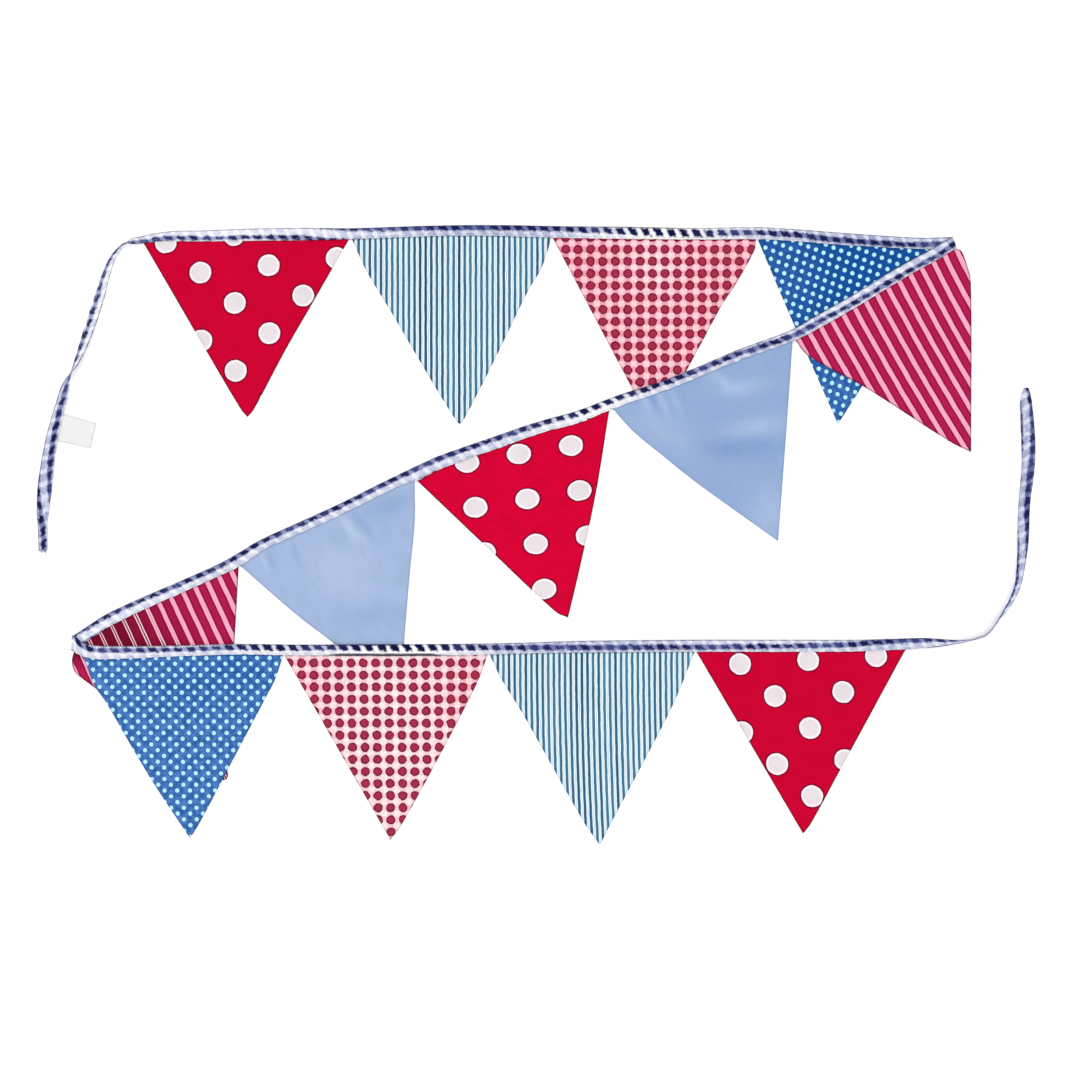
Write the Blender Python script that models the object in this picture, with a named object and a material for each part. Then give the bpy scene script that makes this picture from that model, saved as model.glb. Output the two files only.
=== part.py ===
"""Fabric bunting: thirteen pennants sewn into one folded gingham tape.

The bunting lies on a flat surface at z = 0, seen from above with +X to the right and +Y up
the layout. Its tape runs out along the top, folds over itself at the right, comes back down a
diagonal, folds over again at the left and runs out along the bottom. Each end of the tape is a
bare tie that twists over on its way to the free end. Where runs cross, the later one lies on
top. Every size is in metres, and the origin is the middle of the area that the bunting covers.
"""
import math
from collections import namedtuple
from functools import partial

import bmesh
import bpy
from mathutils import Vector

# Cloth thicknesses and the clearances between layers.
PENNANT_THICKNESS = 0.0010
LABEL_THICKNESS = 0.0010
LEAF_THICKNESS = 0.0010
PIECE_GAP = 0.0003
TAPE_OVER_TAPE_GAP = 0.0004

# The tape's folded section: two leaves joined along the fold edge, open at the mouth.
OPEN_SLOT = PENNANT_THICKNESS + 2 * PIECE_GAP
CLOSED_SLOT = PIECE_GAP
SLOT_START = 0.0026
CLOSED_SLOT_DEPTH = 0.0015
SEAM_START = 0.0038
LABEL_SEAM_DEPTH = 0.0045
EDGE_ROUNDING = 0.0008
FOLD_EDGE_SHARE = 0.45
SLOT_EASING = 0.009

# The tape's two folds: each is half a turn about a line across the tape.
FOLD_STEPS = 6
FOLD_SKEW_LENGTH = 0.024

# The triangle that a pennant starts from: its top edge runs along x, and its tip is at y = -1.
UNIT_PENNANT = ((0.0, -1.0, 0.0), (1.0, 0.0, 0.0), (0.0, 0.0, 0.0))

# How finely the pieces are divided. Stations are closer where the roll changes by more than
# TWIST_TURN degrees over one short step.
PENNANT_ROWS = 12
LABEL_COLUMNS = 2
TIE_STEP = 0.009
TWIST_STEP = 0.005
TWIST_TURN = 2.2
SPLINE_STEP = 0.001
SHORTEST_STEP = 0.0012

# A layer stays level this far past the cloth that it lies on, and then eases down.
COVER_MARGIN = 0.018
COVER_EASING = 0.025

LABEL_WIDTH = 0.0285
LABEL_DROP = 0.0340
LABEL_START_X = -0.4840
LABEL_START_Y = 0.0950
LABEL_SETTLE = 0.0130

# Each run of the tape: points along the middle of the folded tape, its width, and its roll
# about its own length in degrees. A roll of 0 or 360 has the mouth on the run's pennant side.
Knot = namedtuple("Knot", "x y width roll")

TOP_RUN = (
    Knot(-0.4927, -0.0150, 0.0085, 360),
    Knot(-0.4932, 0.0070, 0.0092, 360),
    Knot(-0.4930, 0.0250, 0.0120, 360),
    Knot(-0.4913, 0.0450, 0.0140, 360),
    Knot(-0.4890, 0.0650, 0.0136, 360),
    Knot(-0.4845, 0.0930, 0.0120, 360),
    Knot(-0.4780, 0.1200, 0.0108, 360),
    Knot(-0.4750, 0.1300, 0.0104, 360),
    Knot(-0.4732, 0.1360, 0.0100, 348),
    Knot(-0.4695, 0.1490, 0.0095, 305),
    Knot(-0.4656, 0.1590, 0.0092, 270),
    Knot(-0.4596, 0.1705, 0.0095, 235),
    Knot(-0.4530, 0.1870, 0.0096, 208),
    Knot(-0.4480, 0.2020, 0.0098, 190),
    Knot(-0.4430, 0.2175, 0.0100, 180),
    Knot(-0.4352, 0.2410, 0.0096, 158),
    Knot(-0.4307, 0.2560, 0.0092, 138),
    Knot(-0.4248, 0.2720, 0.0088, 122),
    Knot(-0.4190, 0.2822, 0.0085, 108),
    Knot(-0.4100, 0.2914, 0.0082, 90),
    Knot(-0.4040, 0.2932, 0.0072, 40),
    Knot(-0.3965, 0.2946, 0.0068, 0),
    Knot(-0.3760, 0.2978, 0.0084, 0),
    Knot(-0.3600, 0.2987, 0.0102, 0),
    Knot(-0.3360, 0.2988, 0.0106, 0),
    Knot(-0.2860, 0.3000, 0.0120, 0),
    Knot(-0.2360, 0.3007, 0.0122, 0),
    Knot(-0.1860, 0.3010, 0.0106, 0),
    Knot(-0.0960, 0.3040, 0.0102, 0),
    Knot(-0.0360, 0.3042, 0.0106, 0),
    Knot(0.0240, 0.3027, 0.0116, 0),
    Knot(0.0840, 0.3020, 0.0120, 0),
    Knot(0.1640, 0.3010, 0.0113, 0),
    Knot(0.2210, 0.3015, 0.0119, 0),
    Knot(0.2640, 0.2992, 0.0117, 0),
    Knot(0.3040, 0.2960, 0.0119, 0),
    Knot(0.3440, 0.2935, 0.0112, 0),
    Knot(0.3840, 0.2914, 0.0108, 0),
    Knot(0.4165, 0.2917, 0.0116, 0),
)
DIAGONAL_RUN = (
    Knot(0.4165, 0.2917, 0.0116, 0),
    Knot(0.4040, 0.2837, 0.0116, 0),
    Knot(0.3640, 0.2616, 0.0120, 0),
    Knot(0.3240, 0.2370, 0.0120, 0),
    Knot(0.2840, 0.2142, 0.0120, 0),
    Knot(0.2570, 0.1998, 0.0106, 0),
    Knot(0.2040, 0.1804, 0.0100, 0),
    Knot(0.1640, 0.1637, 0.0094, 0),
    Knot(0.1240, 0.1477, 0.0094, 0),
    Knot(0.0840, 0.1346, 0.0104, 0),
    Knot(0.0440, 0.1187, 0.0117, 0),
    Knot(0.0040, 0.1076, 0.0114, 0),
    Knot(-0.0360, 0.0937, 0.0122, 0),
    Knot(-0.0960, 0.0725, 0.0125, 0),
    Knot(-0.1360, 0.0550, 0.0104, 0),
    Knot(-0.1960, 0.0256, 0.0100, 0),
    Knot(-0.2360, 0.0074, 0.0101, 0),
    Knot(-0.2740, -0.0100, 0.0098, 0),
    Knot(-0.2960, -0.0243, 0.0120, 0),
    Knot(-0.3160, -0.0346, 0.0108, 0),
    Knot(-0.3474, -0.0487, 0.0108, 0),
    Knot(-0.3960, -0.0700, 0.0116, 0),
    Knot(-0.4260, -0.0845, 0.0123, 0),
    Knot(-0.4460, -0.0972, 0.0120, 0),
    Knot(-0.4620, -0.1078, 0.0118, 0),
)
BOTTOM_RUN = (
    Knot(-0.4620, -0.1078, 0.0118, 0),
    Knot(-0.4550, -0.1134, 0.0122, 0),
    Knot(-0.4460, -0.1164, 0.0130, 0),
    Knot(-0.4310, -0.1176, 0.0128, 0),
    Knot(-0.3960, -0.1170, 0.0118, 0),
    Knot(-0.3560, -0.1158, 0.0104, 0),
    Knot(-0.2960, -0.1143, 0.0101, 0),
    Knot(-0.2360, -0.1151, 0.0105, 0),
    Knot(-0.1560, -0.1150, 0.0113, 0),
    Knot(-0.0860, -0.1148, 0.0113, 0),
    Knot(-0.0160, -0.1132, 0.0104, 0),
    Knot(0.0440, -0.1118, 0.0114, 0),
    Knot(0.1640, -0.1108, 0.0118, 0),
    Knot(0.2640, -0.1108, 0.0117, 0),
    Knot(0.3140, -0.1107, 0.0114, 0),
    Knot(0.3540, -0.1096, 0.0108, 0),
    Knot(0.3730, -0.1088, 0.0106, 0),
    Knot(0.3890, -0.1080, 0.0100, 18),
    Knot(0.4040, -0.1076, 0.0095, 45),
    Knot(0.4150, -0.1070, 0.0092, 66),
    Knot(0.4255, -0.1062, 0.0090, 82),
    Knot(0.4326, -0.1050, 0.0090, 90),
    Knot(0.4415, -0.1028, 0.0090, 90),
    Knot(0.4475, -0.1008, 0.0090, 90),
    Knot(0.4540, -0.0953, 0.0090, 96),
    Knot(0.4615, -0.0850, 0.0092, 106),
    Knot(0.4715, -0.0705, 0.0095, 122),
    Knot(0.4773, -0.0600, 0.0096, 130),
    Knot(0.4815, -0.0480, 0.0098, 138),
    Knot(0.4837, -0.0350, 0.0102, 146),
    Knot(0.4865, -0.0100, 0.0110, 166),
    Knot(0.4872, 0.0050, 0.0112, 180),
    Knot(0.4878, 0.0250, 0.0112, 180),
    Knot(0.4890, 0.0400, 0.0113, 180),
    Knot(0.4908, 0.0550, 0.0123, 180),
    Knot(0.4923, 0.0750, 0.0132, 180),
    Knot(0.4921, 0.0950, 0.0136, 180),
    Knot(0.4910, 0.1150, 0.0130, 180),
    Knot(0.4897, 0.1350, 0.0114, 180),
    Knot(0.4900, 0.1420, 0.0080, 180),
    Knot(0.4903, 0.1470, 0.0036, 180),
)

# Each pennant: its run, the x of its two corners at the tape's mouth, its tip, points that its
# left and right edges pass through where they are not straight, and its soft ripples.
Pennant = namedtuple(
    "Pennant", "name cloth run left_x right_x tip left_edge right_edge ripple waves reach")


def pennant(name, cloth, run, left_x, right_x, tip, left_edge=(), right_edge=(),
            ripple=0.0, waves=2.0, reach=1.0):
    """One row of the table of pennants, with straight edges and no ripples unless stated."""
    return Pennant(name, cloth, run, left_x, right_x, tip, left_edge, right_edge,
                   ripple, waves, reach)


PENNANTS = (
    pennant("pennant_01", "red_spot", "top", -0.3920, -0.1865, (-0.2885, 0.1180),
            right_edge=((-0.2160, 0.2383), (-0.2560, 0.1700))),
    pennant("pennant_02", "ticking", "top", -0.1838, 0.0150, (-0.0760, 0.1110)),
    pennant("pennant_03", "pink_dot", "top", 0.0172, 0.2200, (0.1180, 0.1050)),
    pennant("pennant_04", "pin_dot", "top", 0.2222, 0.4130, (0.3020, 0.1110),
            left_edge=((0.2577, 0.2110),)),
    pennant("pennant_05", "crimson_stripe", "diagonal", 0.2592, 0.4150, (0.4350, 0.0830),
            left_edge=((0.2710, 0.1800), (0.3300, 0.1470), (0.4145, 0.0930)),
            right_edge=((0.4290, 0.2740), (0.4345, 0.2550), (0.4352, 0.2000)),
            ripple=0.0016, waves=2.5, reach=0.9),
    pennant("pennant_06", "plain_blue", "diagonal", 0.0770, 0.2565, (0.2420, -0.0060),
            left_edge=((0.1140, 0.0880), (0.1640, 0.0510), (0.2140, 0.0165)),
            right_edge=((0.2513, 0.1190),),
            ripple=0.0014, waves=3.0, reach=0.8),
    pennant("pennant_07", "red_spot", "diagonal", -0.1195, 0.0735, (0.0320, -0.0825)),
    pennant("pennant_08", "plain_blue", "diagonal", -0.2955, -0.1212, (-0.1360, -0.1570),
            left_edge=((-0.2400, -0.0775), (-0.2070, -0.1020)),
            right_edge=((-0.1208, 0.0140), (-0.1270, -0.0380)),
            ripple=0.0013, waves=2.5, reach=0.45),
    pennant("pennant_09", "crimson_stripe", "diagonal", -0.4598, -0.2972, (-0.3120, -0.2430),
            left_edge=((-0.4635, -0.1220), (-0.4632, -0.1320), (-0.4580, -0.1402))),
    pennant("pennant_10", "pin_dot", "bottom", -0.4500, -0.2540, (-0.3460, -0.3030)),
    pennant("pennant_11", "pink_dot", "bottom", -0.2518, -0.0482, (-0.1455, -0.3050)),
    pennant("pennant_12", "ticking", "bottom", -0.0455, 0.1565, (0.0640, -0.3100)),
    pennant("pennant_13", "red_spot", "bottom", 0.1600, 0.3700, (0.2670, -0.2985)),
)

# Base colour (linear) and roughness of each cloth, plain in this model.
CLOTHS = {
    "red_spot": ((0.64, 0.01, 0.03), 0.80),
    "ticking": ((0.45, 0.66, 0.80), 0.80),
    "pink_dot": ((0.72, 0.32, 0.36), 0.82),
    "pin_dot": ((0.10, 0.24, 0.55), 0.80),
    "crimson_stripe": ((0.60, 0.10, 0.20), 0.78),
    "plain_blue": ((0.38, 0.49, 0.72), 0.62),
    "gingham": ((0.42, 0.44, 0.68), 0.85),
    "label_satin": ((0.88, 0.88, 0.87), 0.45),
}

TapeFrame = namedtuple("TapeFrame", "centre across normal width half slot")


def clear_scene():
    """Take away whatever objects the scene starts with."""
    for obj in list(bpy.data.objects):
        bpy.data.objects.remove(obj, do_unlink=True)


def ease(value):
    """A smooth step from 0 to 1 as value goes from 0 to 1."""
    value = min(max(value, 0.0), 1.0)
    return value * value * (3.0 - 2.0 * value)


def blend(start, end, share):
    """The value that lies a share of the way from start to end."""
    return start + (end - start) * share


def smooth_path(points, step):
    """Points about a step apart on a smooth curve through the given plan points."""
    slopes = []
    for index, here in enumerate(points):
        before = points[max(index - 1, 0)]
        after = points[min(index + 1, len(points) - 1)]
        reach = (here - before).length + (after - here).length
        slopes.append((after - before) / reach)
    path = []
    for index in range(len(points) - 1):
        start, end = points[index], points[index + 1]
        chord = (end - start).length
        count = max(int(math.ceil(chord / step)), 1)
        for part in range(count):
            t = part / count
            path.append(
                start * (2 * t ** 3 - 3 * t ** 2 + 1)
                + slopes[index] * chord * (t ** 3 - 2 * t ** 2 + t)
                + end * (3 * t ** 2 - 2 * t ** 3)
                + slopes[index + 1] * chord * (t ** 3 - t ** 2))
    path.append(points[-1])
    return path


def lengths_along(path):
    """The distance along a path to each of its points."""
    lengths = [0.0]
    for before, after in zip(path, path[1:]):
        lengths.append(lengths[-1] + (after - before).length)
    return lengths


def at_length(path, lengths, wanted):
    """The point of a path at a distance along it, and the direction there."""
    low, high = 0, len(path) - 1
    while high - low > 1:
        middle = (low + high) // 2
        if lengths[middle] <= wanted:
            low = middle
        else:
            high = middle
    share = (wanted - lengths[low]) / (lengths[high] - lengths[low])
    return path[low].lerp(path[high], share), (path[high] - path[low]).normalized()


def outside_outline(point, outline):
    """How far a plan point lies outside a closed outline, and 0 inside it."""
    inside = False
    nearest = float("inf")
    for start, end in zip(outline, outline[1:] + outline[:1]):
        edge = end - start
        share = min(max((point - start).dot(edge) / edge.length_squared, 0.0), 1.0)
        nearest = min(nearest, (point - start - edge * share).length)
        if (start.y > point.y) != (end.y > point.y):
            crossing = start.x + (point.y - start.y) / (end.y - start.y) * (end.x - start.x)
            inside = inside != (point.x < crossing)
    return 0.0 if inside else nearest


class Run:
    """One stretch of the tape between its ends or folds."""

    def __init__(self, knots, side):
        self.knots = knots
        self.side = side
        points = [Vector((knot.x, knot.y)) for knot in knots]
        self.path = smooth_path(points, SPLINE_STEP)
        self.lengths = lengths_along(self.path)
        self.length = self.lengths[-1]
        self.knot_lengths = [self.nearest(point) for point in points]
        self.start_fold = None
        self.end_fold = None
        self.openings = []
        self.covers = []

    def nearest(self, point):
        """The length along the run at which its middle is nearest to a plan point."""
        index = min(range(len(self.path)), key=lambda i: (self.path[i] - point).length)
        return self.lengths[index]

    def from_knots(self, column, length):
        """A column of the run's table, read between its knots."""
        for index in range(len(self.knots) - 1):
            start, end = self.knot_lengths[index], self.knot_lengths[index + 1]
            if length <= end:
                share = max(length - start, 0.0) / max(end - start, SPLINE_STEP)
                values = (getattr(self.knots[index], column),
                          getattr(self.knots[index + 1], column))
                return blend(values[0], values[1], min(share, 1.0))
        return getattr(self.knots[-1], column)

    def sideways(self, direction):
        """The plan direction from the fold edge to the mouth."""
        return Vector((direction.y, -direction.x)) * self.side

    def slot_at(self, length):
        """How far the slot is open: 1 where cloth is sewn in, 0 in a bare tie."""
        opened = 0.0
        for start, end in self.openings:
            away = max(start - length, length - end, 0.0)
            opened = max(opened, 1.0 - ease(away / SLOT_EASING))
        return opened

    def slanted_across(self, length, direction):
        """The direction from edge to edge, slanted to match a fold line near a fold."""
        across = self.sideways(direction)
        for fold_line, away in ((self.start_fold, length),
                                (self.end_fold, self.length - length)):
            if fold_line is not None and away < FOLD_SKEW_LENGTH:
                slant = fold_line.dot(direction) / fold_line.dot(across)
                across = across + direction * slant * ease(1.0 - away / FOLD_SKEW_LENGTH)
        return across

    def frame(self, length):
        """The tape's section at a length along the run."""
        middle, direction = at_length(self.path, self.lengths, length)
        across = self.slanted_across(length, direction)
        width = self.from_knots("width", length)
        roll = math.radians(self.from_knots("roll", length))
        opened = self.slot_at(length)
        slot = blend(CLOSED_SLOT, OPEN_SLOT, opened)
        half = LEAF_THICKNESS + slot / 2
        across = across.to_3d()
        up = Vector((0.0, 0.0, 1.0))
        rolled = across * math.cos(roll) + up * math.sin(roll) * self.side
        normal = up * math.cos(roll) * self.side - across * math.sin(roll)
        stands = width / 2 * abs(math.sin(roll)) + half * abs(math.cos(roll))
        height = cover_height(middle, self.covers, COVER_MARGIN + width / 2) + stands
        centre = Vector((middle.x, middle.y, height))
        return TapeFrame(centre, rolled, normal, width, half, opened)

    def mouth_point(self, length):
        """The middle of the slot at the tape's mouth."""
        frame = self.frame(length)
        return frame.centre + frame.across * frame.width / 2

    def length_at_mouth_x(self, x):
        """The length along the run at which its mouth has the given x."""
        count = int(self.length / SPLINE_STEP)
        found = []
        for index in range(count + 1):
            middle, direction = at_length(self.path, self.lengths, index * SPLINE_STEP)
            across = self.slanted_across(index * SPLINE_STEP, direction)
            width = self.from_knots("width", index * SPLINE_STEP)
            level = self.from_knots("roll", index * SPLINE_STEP) == 0
            if level:
                found.append((abs(middle.x + across.x * width / 2 - x), index * SPLINE_STEP))
        return min(found)[1]

    def outside(self, point):
        """How far a plan point lies outside the strip that the run covers."""
        nearest = min(range(0, len(self.path), 4),
                      key=lambda i: (self.path[i] - point).length)
        distance = (self.path[nearest] - point).length
        return max(distance - self.from_knots("width", self.lengths[nearest]) / 2, 0.0)


def cover_height(point, covers, margin):
    """How high cloth must lie at a plan point to clear every layer below it."""
    height = 0.0
    for distance_outside, level in covers:
        away = (distance_outside(point) - margin) / COVER_EASING
        height = max(height, level * (1.0 - ease(away)))
    return height


def join_with_fold(first, second):
    """Give two runs that meet in a fold the line that the tape folds along."""
    arriving = (first.path[-1] - first.path[-2]).normalized()
    leaving = (second.path[1] - second.path[0]).normalized()
    line = (arriving + leaving).normalized()
    first.end_fold = line
    second.start_fold = line


def fold_frames(first):
    """The tape's sections around the half turn that ends a run and turns the tape over."""
    start = first.frame(first.length)
    direction = (first.path[-1] - first.path[-2]).normalized()
    line = first.end_fold
    outward = (direction - line * direction.dot(line)).normalized().to_3d()
    radius = start.half + TAPE_OVER_TAPE_GAP / 2
    up = Vector((0.0, 0.0, 1.0))
    frames = []
    for step in range(1, FOLD_STEPS):
        turn = math.pi * step / FOLD_STEPS
        centre = start.centre + outward * radius * math.sin(turn)
        centre = centre + up * radius * (1.0 - math.cos(turn))
        normal = up * math.cos(turn) - outward * math.sin(turn)
        frames.append(start._replace(centre=centre, normal=normal * first.side))
    return frames


def edge_path(corner, through, tip):
    """One side of a pennant, from its corner at the tape to its tip."""
    points = [corner] + [Vector(point) for point in through] + [tip]
    path = smooth_path(points, SPLINE_STEP)
    return path, lengths_along(path)


class PennantShape:
    """Where a pennant lies: its place on the tape and its outline."""

    def __init__(self, row, run):
        self.row = row
        self.run = run
        self.left = run.length_at_mouth_x(row.left_x)
        self.right = run.length_at_mouth_x(row.right_x)
        corners = [run.mouth_point(length).to_2d() for length in (self.left, self.right)]
        tip = Vector(row.tip)
        self.corners = corners
        self.left_side = edge_path(corners[0], row.left_edge, tip)
        self.right_side = edge_path(corners[1], row.right_edge, tip)

    def column_length(self, share):
        """The length along the tape at a share of the way from the left corner."""
        return blend(self.left, self.right, share)

    def plan(self, across, down):
        """The plan point at shares of the way across and down from the tape to the tip."""
        ends = []
        for path, lengths in (self.left_side, self.right_side):
            ends.append(at_length(path, lengths, lengths[-1] * down)[0])
        straight = self.corners[0].lerp(self.corners[1], across)
        mouth = self.run.mouth_point(self.column_length(across)).to_2d()
        return ends[0].lerp(ends[1], across) + (mouth - straight) * (1.0 - down)

    def outline(self):
        """The outline that the pennant covers on the surface."""
        shares = [step / PENNANT_ROWS for step in range(PENNANT_ROWS + 1)]
        points = [self.plan(share, 0.0) for share in shares]
        points += [self.plan(1.0, share) for share in shares[1:]]
        points += [self.plan(0.0, share) for share in reversed(shares[1:-1])]
        return points

    def surface(self, across, down, covers):
        """A point of the pennant's middle surface."""
        if down == 0.0:
            return self.run.mouth_point(self.column_length(across))
        plan = self.plan(across, down)
        height = cover_height(plan, covers, COVER_MARGIN) + PENNANT_THICKNESS / 2
        fading = math.sin(math.pi * min(down / self.row.reach, 1.0)) ** 2
        wave = 0.5 - 0.5 * math.cos(2 * math.pi * self.row.waves * across)
        return Vector((plan.x, plan.y, height + self.row.ripple * fading * wave))

    def seam(self, across):
        """A point of the pennant's top edge, inside the tape."""
        frame = self.run.frame(self.column_length(across))
        return frame.centre + frame.across * (SEAM_START - frame.width / 2)


def cloth_material(cloth):
    """The plain material of a cloth, made once."""
    material = bpy.data.materials.get(cloth)
    if material is None:
        colour, roughness = CLOTHS[cloth]
        material = bpy.data.materials.new(cloth)
        material.use_nodes = True
        shader = material.node_tree.nodes["Principled BSDF"]
        shader.inputs["Base Color"].default_value = (*colour, 1.0)
        shader.inputs["Roughness"].default_value = roughness
        shader.inputs["Metallic"].default_value = 0.0
        material.diffuse_color = (*colour, 1.0)
    return material


def add_object(name, mesh_editor, cloth, parent):
    """Turn an edited mesh into a named object of one cloth."""
    mesh = bpy.data.meshes.new(name)
    mesh_editor.to_mesh(mesh)
    mesh_editor.free()
    mesh.materials.append(cloth_material(cloth))
    mesh.shade_flat()
    obj = bpy.data.objects.new(name, mesh)
    bpy.context.scene.collection.objects.link(obj)
    obj.parent = parent
    return obj


def thicken(obj, thickness):
    """Give a sheet its thickness, half to each side."""
    solid = obj.modifiers.new("Cloth thickness", "SOLIDIFY")
    solid.thickness = thickness
    solid.offset = 0.0
    solid.use_even_offset = True


def build_pennant(shape, covers, parent):
    """A pennant: a triangle divided in rows, with a seam strip along its top edge."""
    editor = bmesh.new()
    share_across = editor.verts.layers.float.new("share_across")
    corners = [editor.verts.new(corner) for corner in UNIT_PENNANT]
    editor.faces.new(corners)
    bmesh.ops.subdivide_edges(
        editor, edges=editor.edges[:], cuts=PENNANT_ROWS - 1, use_grid_fill=True)
    top = []
    for vert in editor.verts:
        down = round(-vert.co.y * PENNANT_ROWS) / PENNANT_ROWS
        vert[share_across] = vert.co.x / (1.0 - down) if down < 1.0 else 0.0
        vert.co = shape.surface(vert[share_across], down, covers)
        if down == 0.0:
            top.append(vert)
    hem = [edge for edge in editor.edges if all(vert in top for vert in edge.verts)]
    for element in bmesh.ops.extrude_edge_only(editor, edges=hem)["geom"]:
        if isinstance(element, bmesh.types.BMVert):
            element.co = shape.seam(element[share_across])
    editor.verts.layers.float.remove(share_across)
    bmesh.ops.recalc_face_normals(editor, faces=editor.faces[:])
    obj = add_object(shape.row.name, editor, shape.row.cloth, parent)
    thicken(obj, PENNANT_THICKNESS)
    return obj


def section_points(frame):
    """The tape's folded section: offsets across and up from the middle, in order."""
    fold, mouth = -frame.width / 2, frame.width / 2
    slot = blend(CLOSED_SLOT, OPEN_SLOT, frame.slot) / 2
    end = blend(mouth - CLOSED_SLOT_DEPTH, fold + SLOT_START, frame.slot)
    low = FOLD_EDGE_SHARE * frame.half
    rounded = fold + EDGE_ROUNDING
    return ((rounded, -frame.half), (mouth, -frame.half), (mouth, -slot), (end, -slot),
            (end, slot), (mouth, slot), (mouth, frame.half), (rounded, frame.half),
            (fold, low), (fold, -low))


def station_lengths(run, spans):
    """The lengths along a run at which the tape's section is placed.

    The cloth sewn in over each span sets the stations beside it, so that its top edge and the
    slot bend together. The bare tape between has its own, closer together where it twists.
    """
    sewn = [blend(start, end, step / count)
            for start, end, count in spans for step in range(count + 1)]
    fixed = [0.0, run.length] + sewn
    bare = []
    length = 0.0
    while length < run.length:
        in_span = any(min(span[:2]) <= length <= max(span[:2]) for span in spans)
        if not in_span and all(abs(length - other) >= SHORTEST_STEP for other in fixed):
            bare.append(length)
        turning = abs(run.from_knots("roll", length + TWIST_STEP)
                      - run.from_knots("roll", length))
        length += TWIST_STEP if turning > TWIST_TURN else TIE_STEP
    return sorted(fixed + bare)


def build_tape(frames, parent):
    """The whole tape: a strip of sections, closed around its section and at both ends."""
    stations = len(frames) - 1
    sides = len(section_points(frames[0]))
    editor = bmesh.new()
    bmesh.ops.create_grid(editor, x_segments=stations, y_segments=sides, size=0.5)
    for vert in editor.verts:
        frame = frames[round((vert.co.x + 0.5) * stations)]
        corner = round((vert.co.y + 0.5) * sides) % sides
        across, up = section_points(frame)[corner]
        vert.co = frame.centre + frame.across * across + frame.normal * up
    bmesh.ops.remove_doubles(editor, verts=editor.verts[:], dist=1e-7)
    ends = [edge for edge in editor.edges if edge.is_boundary]
    bmesh.ops.holes_fill(editor, edges=ends, sides=0)
    bmesh.ops.recalc_face_normals(editor, faces=editor.faces[:])
    return add_object("binding_tape", editor, "gingham", parent)


def build_label(run, start, end, parent):
    """The bare label: a small sheet sewn into the tie's mouth and lying beside it."""
    drops = (-LABEL_SEAM_DEPTH, 0.0, LABEL_SETTLE, LABEL_DROP)
    editor = bmesh.new()
    bmesh.ops.create_grid(
        editor, x_segments=LABEL_COLUMNS, y_segments=len(drops) - 1, size=0.5)
    for vert in editor.verts:
        column = round((vert.co.x + 0.5) * LABEL_COLUMNS) / LABEL_COLUMNS
        drop = drops[round((vert.co.y + 0.5) * (len(drops) - 1))]
        frame = run.frame(blend(start, end, column))
        vert.co = frame.centre + frame.across * (frame.width / 2 + drop)
        if drop > 0.0:
            vert.co.z = LABEL_THICKNESS / 2
    bmesh.ops.recalc_face_normals(editor, faces=editor.faces[:])
    obj = add_object("sewn_label", editor, "label_satin", parent)
    thicken(obj, LABEL_THICKNESS)
    return obj


def lay_over(run, lower, lower_shapes):
    """Let a run and its pennants clear the run below it and that run's pennants."""
    over_tape = 2 * LEAF_THICKNESS + OPEN_SLOT + TAPE_OVER_TAPE_GAP
    over_pennant = PENNANT_THICKNESS + PIECE_GAP
    run.covers = [(lower.outside, over_tape)]
    for shape in lower_shapes:
        run.covers.append((partial(outside_outline, outline=shape.outline()), over_pennant))


def sew_in(run, rows):
    """Open the run's slot for its pennants, and on into its folds, and shape each pennant."""
    corners = [run.length_at_mouth_x(x) for row in rows for x in (row.left_x, row.right_x)]
    first = min(corners) if run.start_fold is None else 0.0
    last = max(corners) if run.end_fold is None else run.length
    run.openings.append((first, last))
    return [PennantShape(row, run) for row in rows]


def main():
    """Lay out the runs from the bottom layer up, then build each piece on them."""
    clear_scene()
    parent = bpy.data.objects.new("bunting", None)
    bpy.context.scene.collection.objects.link(parent)

    runs = {"top": Run(TOP_RUN, 1.0), "diagonal": Run(DIAGONAL_RUN, -1.0),
            "bottom": Run(BOTTOM_RUN, 1.0)}
    top = runs["top"]
    join_with_fold(top, runs["diagonal"])
    join_with_fold(runs["diagonal"], runs["bottom"])
    label_start = top.nearest(Vector((LABEL_START_X, LABEL_START_Y)))
    label_end = label_start + LABEL_WIDTH
    top.openings.append((label_start, label_end))

    shapes = {}
    frames = []
    lower = None
    for name, run in runs.items():
        if lower is not None:
            lay_over(run, runs[lower], shapes[lower])
        shapes[name] = sew_in(run, [row for row in PENNANTS if row.run == name])
        spans = [(shape.left, shape.right, PENNANT_ROWS) for shape in shapes[name]]
        if run is top:
            spans.append((label_start, label_end, LABEL_COLUMNS))
        frames += [run.frame(length) for length in station_lengths(run, spans)]
        if run.end_fold is not None:
            frames += fold_frames(run)
        lower = name

    build_tape(frames, parent)
    for name, run in runs.items():
        for shape in shapes[name]:
            build_pennant(shape, run.covers, parent)
    build_label(top, label_start, label_end, parent)


main()
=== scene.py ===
"""The looks of a fabric bunting: thirteen printed pennants sewn into one folded gingham tape.

The bunting lies on a pale floor at z = 0 and is seen from straight above, with +X to the right
and +Y up the layout. Sizes are in metres, and the tables of the tape, the pennants and their
tones are in plan millimetres. The tape's route and the pennants' outlines are the CAD model's
own, and the cloth here is as thin as real cotton, so each piece lies inside the solid that it
stands for.
"""
import logging
import math
import random
from bisect import bisect_right
from dataclasses import dataclass, field, replace
from enum import Enum
from itertools import accumulate
from typing import Iterable, Sequence

import bmesh
import bpy
from mathutils import Matrix, Vector, noise


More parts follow.
